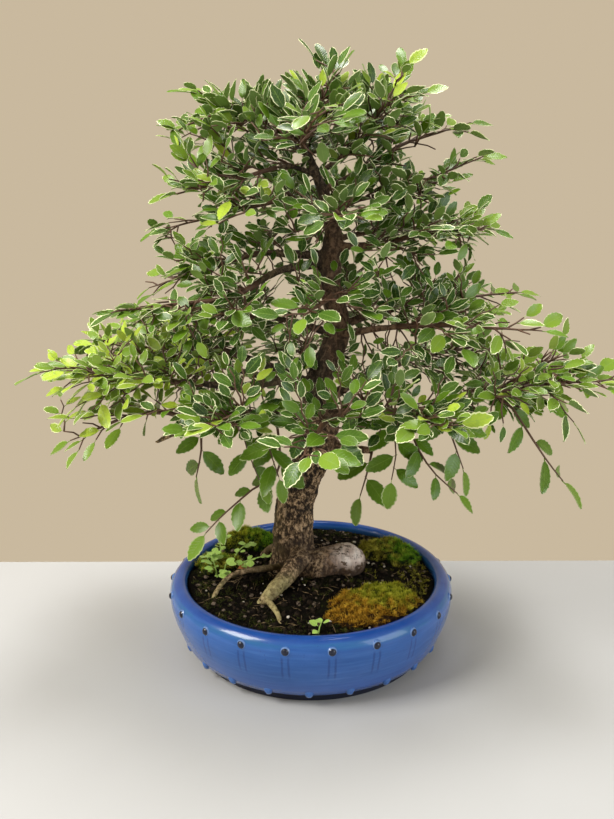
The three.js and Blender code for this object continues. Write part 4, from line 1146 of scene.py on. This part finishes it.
def soil_form():
    """The filling of the pot, closed all round, its top rough with crumbs."""
    form = turned_form(SOIL_SIDE + [(radius, SOIL_EDGE) for radius in SOIL_RINGS], 120)
    for vert in form.verts:
        x, y, z = vert.co
        if z > SOIL_EDGE - 0.5:
            spot = Vector((x, y, 0))
            crumbs = 1.4 * noise.noise(spot / 4) + 0.9 * noise.noise(spot / 1.7)
            vert.co.z = soil_height(x, y) + crumbs
    return form


def anywhere(rng):
    """A point of the square round the soil."""
    return rng.uniform(-LITTER_REACH, LITTER_REACH), rng.uniform(-LITTER_REACH, LITTER_REACH)


def scattered(count, sizes, seed, level=1, lift=0.2, flat=1.0):
    """Crumbs of one kind lying on the soil: small squashed stones, turned at random."""
    rng = random.Random(seed)
    stone = bmesh.new()
    bmesh.ops.create_icosphere(stone, subdivisions=level, radius=1)
    for vert in stone.verts:
        vert.co *= 1 + 0.22 * noise.noise(vert.co * 1.7 + Vector((seed, 0, 0)))
    stone = mesh_of(smoothed(stone), "stone")
    form = bmesh.new()
    while count:
        x, y = anywhere(rng)
        if math.hypot(x, y) > LITTER_REACH:
            continue
        size = rng.uniform(*sizes)
        long, wide, thick = rng.uniform(0.7, 1.3), rng.uniform(0.7, 1.2), rng.uniform(0.5, 0.9)
        turn = any_turn(rng) @ rotation(rng.uniform(-0.5, 0.5), "X")
        spot = (x, y, soil_height(x, y) + lift * size)
        added(form, stone, placed(spot, turn, (size * long, size * wide, size * flat * thick)))
        count -= 1
    return form


def limb(path, radius_at, steps, pale=0.0):
    """A limb of the wood: points on the curve through its path, a radius at each, and its paleness."""
    shares = [i / steps for i in range(steps + 1)]
    return [on_path(path, share) for share in shares], [radius_at(share) for share in shares], pale


def wood_limbs():
    """The trunk, its roots, stubs and the inner branches, up to where their sprays begin."""
    radii = [row[3] for row in TRUNK]
    last = len(radii) - 1
    limbs = [limb([row[:3] for row in TRUNK], lambda share: between(radii, share * last), 90)]
    limbs += [limb(path, lambda share: within(thick, share), 24, pale) for thick, pale, path in ROOTS]
    limbs += [limb(path, lambda share: within(thick, share), 30) for thick, path in STUBS]
    for branch in BRANCHES:
        inner = [on_path(branch.path, branch.split * i / 14) for i in range(15)]
        limbs.append(limb(inner, lambda share: within(branch.thick, share * branch.split), 20))
    return limbs


def wood_skin(limbs):
    """One skin over all limbs and the ball at the end of the big root."""
    core = form_of(tube_mesh([(points, radii) for points, radii, _ in limbs], 5))
    moved(core, placed(BALL_AT, rotation(0), BALL_SIZE), ball_in(core, 24, 16))
    holder = in_scene("wood", mesh_of(core, "wood"))
    skin = holder.modifiers.new("skin", "REMESH")
    skin.mode, skin.voxel_size = "VOXEL", WOOD_VOXEL
    ease = holder.modifiers.new("ease", "SMOOTH")
    ease.factor, ease.iterations = 0.5, 6
    form = form_of(evaluated(holder))
    bmesh.ops.recalc_face_normals(form, faces=form.faces)
    form.normal_update()
    return form


def wood_form():
    """The skin of the wood, with lumps and fissures that grow with the radius and fade on pale roots."""
    limbs = wood_limbs()
    form = wood_skin(limbs)
    knots = [(point, radius, pale) for points, radii, pale in limbs for point, radius in zip(points, radii)]
    knots.append((Vector(BALL_AT), BALL_SIZE[2], 1.0))
    finder = nearest_finder([knot[0] for knot in knots])
    pale_mark = form.verts.layers.float.new("pale")
    fissure_mark = form.verts.layers.float.new("fissure")
    for vert in form.verts:
        spot = vert.co.copy()
        near = [(knots[k], max(1e-3, far / knots[k][1])) for _, k, far in finder.find_n(spot, 6)]
        total = sum(1 / far**3 for _, far in near)
        radius = sum(knot[1] / far**3 for knot, far in near) / total
        pale = sum(knot[2] / far**3 for knot, far in near) / total
        pale = clamped(pale * 1.25 - 0.1 + 0.35 * noise.noise(spot / 9))
        stretched = Vector((spot.x / FISSURE_WIDE, spot.y / FISSURE_WIDE, spot.z / FISSURE_TALL))
        ridge = noise.ridged_multi_fractal(stretched, *FISSURES)
        furrow = clamped(1.25 - 0.75 * ridge)
        lump = noise.noise(spot / WIDE_LUMPS) + 0.5 * noise.noise(spot / SMALL_LUMPS)
        rough = min(1, radius / 11) * (1 - 0.75 * pale)
        rise = lump * min(1.5, 0.075 * radius) - furrow * FISSURE_DEEP * rough + 0.35 * rough
        vert.co = spot + vert.normal * rise
        vert[pale_mark] = pale
        vert[fissure_mark] = furrow * rough
    return smoothed(form)


def blade_form(droop, wave, teeth):
    """A toothed leaf of length and breadth 1 along X, with its rib on the X axis, as one closed blade."""
    form = bmesh.new()
    steps = 2 * teeth
    bmesh.ops.create_grid(form, x_segments=steps, y_segments=2, size=0.5)
    tile = form.loops.layers.uv.new("OFBake")
    for corner in corners_of(form):
        spot = corner.vert.co
        corner[tile].uv = (0.25 + TILE_HALF * spot.y, TILE_EDGE + TILE_LONG * (spot.x + 0.5))
    for vert in form.verts:
        along, across = vert.co.x + 0.5, 2 * vert.co.y
        inner = 0 < along < 1
        breadth = math.sin(math.pi * along**0.92) ** 0.66 if inner else 0
        tooth = round(along * steps) % 2
        vert.co.x = along + (0.02 if tooth else -0.012) * abs(across) * inner
        vert.co.y = 0.5 * across * breadth * (1 if tooth else 0.9)
        lift = 0.09 * abs(vert.co.y) + 0.02 * wave * across * math.sin(5 * along)
        vert.co.z = lift - droop * along**2
    bmesh.ops.remove_doubles(form, verts=form.verts, dist=1e-5)
    bmesh.ops.recalc_face_normals(form, faces=form.faces)
    bmesh.ops.solidify(form, geom=form.faces[:], thickness=BLADE_THICK)
    bmesh.ops.recalc_face_normals(form, faces=form.faces)
    for face in smoothed(form).faces:
        if face.normal.z < -0.3:
            for corner in face.loops:
                corner[tile].uv.x += 0.5
    sharpened(form, 0.9)
    stalk = spike_in(form, 0.024, 0.02, 0.2)
    moved(form, placed((-0.04, 0, -0.012), rotation(math.pi / 2, "Y")), stalk)
    for vert in stalk:
        for corner in vert.link_loops:
            corner[tile].uv = (0.25, 0.3)
    return form


def leaf_kinds():
    """A mesh for each number of teeth, each droop and each tile of the leaves' paint."""
    kinds = {}
    for teeth, (bend, droop) in product(LEAF_TEETH, enumerate(DROOPS)):
        plain = mesh_of(blade_form(droop, (-1) ** bend, teeth), "blade")
        for row, column in product(range(LEAF_TILES), repeat=2):
            form = form_of(plain)
            tile = form.loops.layers.uv["OFBake"]
            for corner in corners_of(form):
                corner[tile].uv = (corner[tile].uv + Vector((column, row))) / LEAF_TILES
            kinds[teeth, bend, row, column] = mesh_of(form, "leaf")
    return kinds


def leaf_matrix(leaf):
    """Where a leaf lies: its length along X, its breadth along Y and its upper side along Z."""
    turn = Matrix((leaf.along, leaf.up.cross(leaf.along), leaf.up)).transposed().to_4x4()
    size = (leaf.long, leaf.long * leaf.wide, leaf.long)
    return placed(leaf.base + leaf.along * PETIOLE, turn, size)


def leaf_age(name, leaf, luck):
    """The row of a leaf's paint: older inside the crown, fresh at some tips, young at a shoot's end."""
    # A hanging shoot lies in the crown's shade: most of its leaves take the darker rows as painted shade
    if leaf.far is not None:
        return YOUNG if leaf.far > 0.97 else GROWN if luck > 0.25 else OLD_SHADED
    x, y, z = leaf.base
    out = math.hypot(x - AGE_MIDDLE[0], y - AGE_MIDDLE[1]) / (AGE_REACH - AGE_TAPER * (z - AGE_FOOT))
    fresh = FRESH_SPRAYS.get(name, 0)
    if luck < fresh * min(1, out + 0.15):
        return FRESH if luck < 0.5 * fresh else YOUNG
    if out + 0.35 * luck > 1.0:
        return YOUNG if luck > 0.55 else GROWN
    # Leaves inside the crown are older and darker, which also stands for painted shade of the crown
    return OLD_SHADED if luck > 0.42 + 0.3 * out else GROWN


def spray_form(branch, spray, kinds, draw):
    last = len(spray.nodes) - 1
    foot = within(branch.thick, branch.split)
    radii = [max(TWIG_TIP_RADIUS, mix_of(foot, TWIG_TIP_RADIUS, i / last)) for i in range(last + 1)]
    limbs = [(spray.nodes, radii)]
    for twig in spray.twigs:
        count = len(twig.points)
        radii = [mix_of(TWIG_RADIUS, TWIG_TIP_RADIUS, k / count) * 0.8 for k in range(count)]
        limbs.append((twig.points, radii))
    form = stems_form(limbs)
    tile = form.loops.layers.uv["OFBake"]
    for corner in corners_of(form):
        corner.face.material_index = 1
        inside = Vector((corner[tile].uv.x % 1, corner[tile].uv.y % 1)) * 0.9 + Vector((0.05, 0.05))
        corner[tile].uv = Vector(BARK_TILE) / LEAF_TILES + inside / LEAF_TILES
    for leaf in leaves_of(spray):
        row = leaf_age(branch.name, leaf, draw())
        column = int(draw() * (PLAIN_COLUMN if row == FRESH else LEAF_TILES))
        if leaf.far is not None:
            column = PLAIN_COLUMN
        bend = min(len(DROOPS) - 1, int(leaf.droop / LEAF_DROOP[1] * len(DROOPS)))
        teeth = LEAF_TEETH[leaf.long > SMALL_LEAF]
        face_light(leaf, draw())
        if draw() < OPEN_SHARE and kept_open(middle_of(leaf)):
            continue
        added(form, kinds[teeth, bend, row, column], leaf_matrix(leaf))
    return form


def tuft_of(rng):
    """A star of fine shoots, with the tips marked for the paint."""
    tuft = bmesh.new()
    tip = tuft.verts.layers.float.new("tip")
    for _ in range(TUFT_SHOOTS):
        shoot = spike_in(tuft, SHOOT_RADIUS, 0, 1)
        for vert in shoot:
            vert[tip] = float(vert.co.z > 0)
        lean = any_turn(rng) @ rotation(rng.uniform(*SHOOT_LEAN), "X")
        x, y = rng.uniform(-SHOOT_SPREAD, SHOOT_SPREAD), rng.uniform(-SHOOT_SPREAD, SHOOT_SPREAD)
        size = Matrix.Diagonal((1, 1, rng.uniform(*SHOOT_LONG), 1)) @ Matrix.Translation((0, 0, 0.4))
        moved(tuft, Matrix.Translation((x, y, 0)) @ lean @ size, shoot)
    return mesh_of(tuft, "tuft")


def from_cushion(moss, x, y):
    """How far a place lies from a cushion's middle along X and Y, 1 at its edge."""
    return (x - moss.at[0]) / moss.wide[0], (y - moss.at[1]) / moss.wide[1]


def moss_form(moss):
    """A cushion of moss: a low mound with a coat of fine shoots."""
    rng = random.Random(moss.seed)
    (at_x, at_y), (wide_x, wide_y) = moss.at, moss.wide

    def lobes(turn):
        broad = 1 + 0.1 * math.sin(3 * turn + at_x) + 0.08 * math.sin(5 * turn + at_y)
        return broad + 0.05 * math.sin(11 * turn)

    def height_of(x, y, rise):
        """Lower where the cushion meets the pot."""
        at_rim = min(1, max(MOSS_AT_RIM, (MOSS_REACH + 1 - math.hypot(x, y)) / 9)) ** 0.5
        return MOSS_FOOT + at_rim * rise

    def bump(x, y):
        return MOSS_BUMP * noise.noise(Vector((x, y, 7)) / BUMP_WIDE)

    mound = bmesh.new()
    for vert in ball_in(mound, 40, 24):
        far, up = lobes(math.atan2(vert.co.y, vert.co.x)), vert.co.z
        x, y = vert.co.x * far * wide_x + at_x, vert.co.y * far * wide_y + at_y
        out = math.hypot(x, y)
        if out > MOSS_REACH:
            x, y = x * MOSS_REACH / out, y * MOSS_REACH / out
        rise = 1 + up * moss.high + bump(x, y) if up > 0 else 1 + up * 4
        vert.co = Vector((x, y, height_of(x, y, rise)))
    tufts = [tuft_of(rng) for _ in range(TUFT_KINDS)]
    form = form_of(mesh_of(smoothed(mound), "mound"))
    count = 0
    while count < moss.tufts:
        x, y = at_x + rng.uniform(-1.15, 1.15) * wide_x, at_y + rng.uniform(-1.15, 1.15) * wide_y
        aside, forward = from_cushion(moss, x, y)
        far = math.hypot(aside, forward) / lobes(math.atan2(forward, aside))
        if far >= 0.995 or math.hypot(x, y) > MOSS_REACH:
            continue
        top = height_of(x, y, 1 + moss.high * math.sqrt(1 - far * far) + bump(x, y))
        size = rng.uniform(0.6, 1.25) * moss.tall
        added(form, tufts[count % TUFT_KINDS], placed((x, y, top - 0.6), any_turn(rng), [size] * 3))
        count += 1
    return form


def open_soil(rng):
    """A point of the soil between the cushions of moss."""
    while True:
        x, y = anywhere(rng)
        clear = all(math.hypot(*from_cushion(moss, x, y)) > 0.9 for moss in MOSS)
        if clear and math.hypot(x, y) < LITTER_REACH - 1:
            return x, y


def loose_moss(count, seed):
    """Single tufts all over the open soil, in drifts, and thicker towards the rim."""
    rng = random.Random(seed)
    tufts = [tuft_of(rng) for _ in range(TUFT_KINDS)]
    form = bmesh.new()
    while count:
        x, y = open_soil(rng)
        near_rim = max(0, math.hypot(x, y) - 84) / 25 * (1 if x > 0 else 0.6)
        drift = noise.noise(Vector((x, y, seed)) / DRIFT_WIDE)
        if drift + 0.9 * near_rim < rng.uniform(-0.1, 0.7):
            continue
        turn, size = any_turn(rng), rng.uniform(0.4, 0.95)
        spot = (x, y, soil_height(x, y) + 0.3)
        added(form, tufts[count % TUFT_KINDS], placed(spot, turn, [size] * 3))
        count -= 1
    return form


def fibres(count, seed):
    """Dry rootlets and stalks that lie on the soil."""
    rng = random.Random(seed)
    limbs = []
    for _ in range(count):
        x, y = open_soil(rng)
        turn, long, bow = rng.uniform(0, math.tau), rng.uniform(4, 13), rng.uniform(-0.25, 0.25)
        points = []
        for k, lift in enumerate((0.2, 1.6, 1.6, 0.2)):
            far = long * (k / 3 - 0.5)
            point = Vector((x + math.cos(turn) * far - math.sin(turn) * bow * far * far / 6,
                            y + math.sin(turn) * far + math.cos(turn) * bow * far * far / 6, 0))
            point.z = soil_height(point.x, point.y) + 0.7 + lift * rng.random()
            points.append(point)
        radius = rng.uniform(0.22, 0.42)
        limbs.append((points, [radius, radius, radius * 0.8, radius * 0.5]))
    return smoothed(form_of(tube_mesh(limbs, 1)))


def lying_leaf(base, along, upwards, long, wide):
    """Where a leaf lies whose upper side faces upwards as well as it can."""
    up = square_to(along, Vector(upwards)).normalized()
    return leaf_matrix(SimpleNamespace(base=base, along=along, up=up, long=long, wide=wide))


def small_plants(stems, kinds, long, wide, seed):
    """Thin stems with small leaves along them, such as the seedling and the creeping weed."""
    rng = random.Random(seed)
    limbs, leaves = [], []
    for path in stems:
        last = 4 * len(path)
        points = [on_path(path, k / last) for k in range(last + 1)]
        limbs.append((points, [within(STEM_RADII, k / last) for k in range(last + 1)]))
        for k in range(2, last + 1, 2):
            turn = rng.uniform(0, math.tau)
            along = Vector((math.cos(turn), math.sin(turn), rng.uniform(0.1, 0.7))).normalized()
            size = long * rng.uniform(0.65, 1.15) * (0.7 + 0.3 * k / last)
            leaves.append(lying_leaf(points[k], along, (0, -0.2, 1), size, wide))
    form = stems_form(limbs)
    for place in leaves:
        kind = kinds[LEAF_TEETH[0], rng.randrange(len(DROOPS)), OLD_SHADED, rng.randrange(LEAF_TILES)]
        added(form, kind, place)
    return form


def fallen_leaves(kinds):
    form = bmesh.new()
    form.loops.layers.uv.new("OFBake")
    for (x, y), turn, long in FALLEN_LEAVES:
        along = Vector((math.cos(turn), math.sin(turn), 0.15)).normalized()
        base = Vector((x, y, soil_height(x, y) + 3))
        added(form, kinds[LEAF_TEETH[1], 2, OLD_SHADED, 0], lying_leaf(base, along, (0.1, -0.1, 1), long, 0.6))
    return form


# Pot
piece("glazed_pot", pot_form(), [blue_glaze()], ["pot"])
piece("pot_studs", studs_form(), [stud_glaze()])
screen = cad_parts["drain_screen"].data
screen.materials.clear()
screen.materials.append(screen_plastic())

# Soil and what lies on it
piece("potting_soil", soil_form(), [soil_look()], ["soil"])
crumbs = crumb_look("soil_crumbs", (0.002, 0.001, 0.001), (0.022, 0.015, 0.009))
piece("crumbs_fine", scattered(1300, (0.7, 1.7), 31), [crumbs])
piece("crumbs_coarse", scattered(150, (1.8, 3.2), 32, level=2), [crumbs])
grit = crumb_look("pale_grit", (0.34, 0.3, 0.24), (0.66, 0.62, 0.55))
piece("pale_grit", scattered(64, (0.6, 2.0), 33, lift=0.6), [grit])
chips = crumb_look("bark_chips", (0.012, 0.008, 0.005), (0.2, 0.155, 0.12))
piece("bark_chips", scattered(150, (1.2, 3.0), 34, lift=0.5, flat=0.45), [chips])
dry = crumb_look("dry_fibres", (0.018, 0.011, 0.005), (0.21, 0.15, 0.085))
piece("dry_fibres", fibres(190, 35), [dry])

# Wood
piece("bark", wood_form(), [elm_bark()], ["trunk"])

# Moss: mixtures of four colours from the shade to the light, and for each cushion its two mixtures,
# with the middle and the radius of the spot that has the second one
OLIVE = ((0.003, 0.004, 0.001), (0.058, 0.056, 0.006), (0.29, 0.27, 0.026), (0.7, 0.64, 0.11))
FERN = ((0.002, 0.003, 0.001), (0.014, 0.02, 0.003), (0.05, 0.06, 0.01), (0.15, 0.15, 0.035))
LIME = ((0.006, 0.012, 0.001), (0.085, 0.11, 0.005), (0.29, 0.31, 0.016), (0.56, 0.56, 0.06))
VIVID = ((0.003, 0.012, 0.001), (0.038, 0.105, 0.005), (0.13, 0.3, 0.014), (0.32, 0.56, 0.045))
ORANGE = ((0.012, 0.005, 0.001), (0.12, 0.056, 0.004), (0.37, 0.19, 0.012), (0.78, 0.5, 0.06))
moss_looks = [
    moss_look("orange_moss", ORANGE, LIME, (66, -46), 30),
    moss_look("olive_moss", OLIVE, VIVID, (104, 40), 26),
    moss_look("lime_moss", LIME, VIVID, (-40, 60), 20),
    moss_look("green_moss", OLIVE, VIVID, (-92, 26), 14),
]
for moss, look in zip(MOSS, moss_looks):
    piece(moss.name.replace("moss", "mossy"), moss_form(moss), [look], [moss.name])
piece("loose_moss", loose_moss(820, 36), [moss_look("loose_moss", FERN, OLIVE, (98, 0), 40)])

# Leaves
kinds = leaf_kinds()
spray_looks = [elm_leaf(), young_twig()]
sprays = grown_sprays()
for index, branch in enumerate(BRANCHES + SHOOTS):
    form = spray_form(branch, sprays[branch.name], kinds, seeded(LEAF_SEED + SEED_STEP * index))
    piece("leaves_" + branch.name, form, spray_looks, ["spray_" + branch.name])

# Small plants in the soil
weed = soft_leaf("weed_leaf", (0.2, 0.38, 0.05), (0.42, 0.62, 0.14), (0.62, 0.74, 0.34))
seedling = small_plants(SEEDLING_STEMS, kinds, 10, 0.85, 41)
piece("seedling_leaves", seedling, [weed], ["seedling"])
piece("creeping_weed", small_plants(WEED_STEMS, kinds, 8, 0.9, 42), [weed])
dead = soft_leaf("dead_leaf", (0.26, 0.08, 0.02), (0.55, 0.22, 0.07), (0.6, 0.3, 0.12))
piece("dead_leaves", fallen_leaves(kinds), [dead])

# Studio, in metres: a pale floor, soft lamps, warm surroundings and the camera
FLOOR = [(-1.6, -1.6, 0), (1.6, -1.6, 0), (1.6, 0.158, 0), (-1.6, 0.158, 0)]
floor = bmesh.new()
floor.faces.new([floor.verts.new(Vector(corner) / MM - POT_AXIS / MM) for corner in FLOOR])
bmesh.ops.recalc_face_normals(floor, faces=floor.faces)
painted("floor", floor, floor_paint())


def lamp(name, place, height, size, power, colour):
    """A square lamp that shines at a height on the pot's axis."""
    light = bpy.data.lights.new(name, "AREA")
    light.size, light.energy, light.color = size, power, colour
    made = in_scene(name, light)
    made.location = POT_AXIS + Vector(place)
    made.rotation_euler = (Vector((0, 0, height)) - Vector(place)).to_track_quat("-Z", "Y").to_euler()


lamp("window", (-1.3, -0.62, 1.4), 0.2, 0.8, 39, (1.0, 0.97, 0.92))
lamp("ceiling", (0.2, 0.3, 1.9), 0.2, 0.7, 28, (1.0, 0.98, 0.95))
lamp("bounce", (1.4, -0.9, 0.7), 0.15, 1.0, 14, (0.8, 0.9, 1.0))

world = bpy.data.worlds.new("room")
world.use_nodes = True
world.node_tree.nodes["Background"].inputs["Color"].default_value = (0.585, 0.485, 0.345, 1)
bpy.context.scene.world = world
bpy.context.scene.view_settings.view_transform = "Standard"

CAMERA_AT, LENS, SENSOR = (0, -0.65867, 0.3794), 33.69, 36
CAMERA_TURNS = [(0.245, "Z"), (90 - 13.68, "X"), (-0.247, "Z")]
lens = bpy.data.cameras.new("camera")
lens.lens, lens.sensor_fit, lens.sensor_width, lens.sensor_height = LENS, "VERTICAL", SENSOR, SENSOR
camera = in_scene("camera", lens)
pan, pitch, roll = (Matrix.Rotation(math.radians(angle), 4, axis) for angle, axis in CAMERA_TURNS)
camera.matrix_world = Matrix.Translation(POT_AXIS + Vector(CAMERA_AT)) @ pan @ pitch @ roll
bpy.context.scene.camera = camera
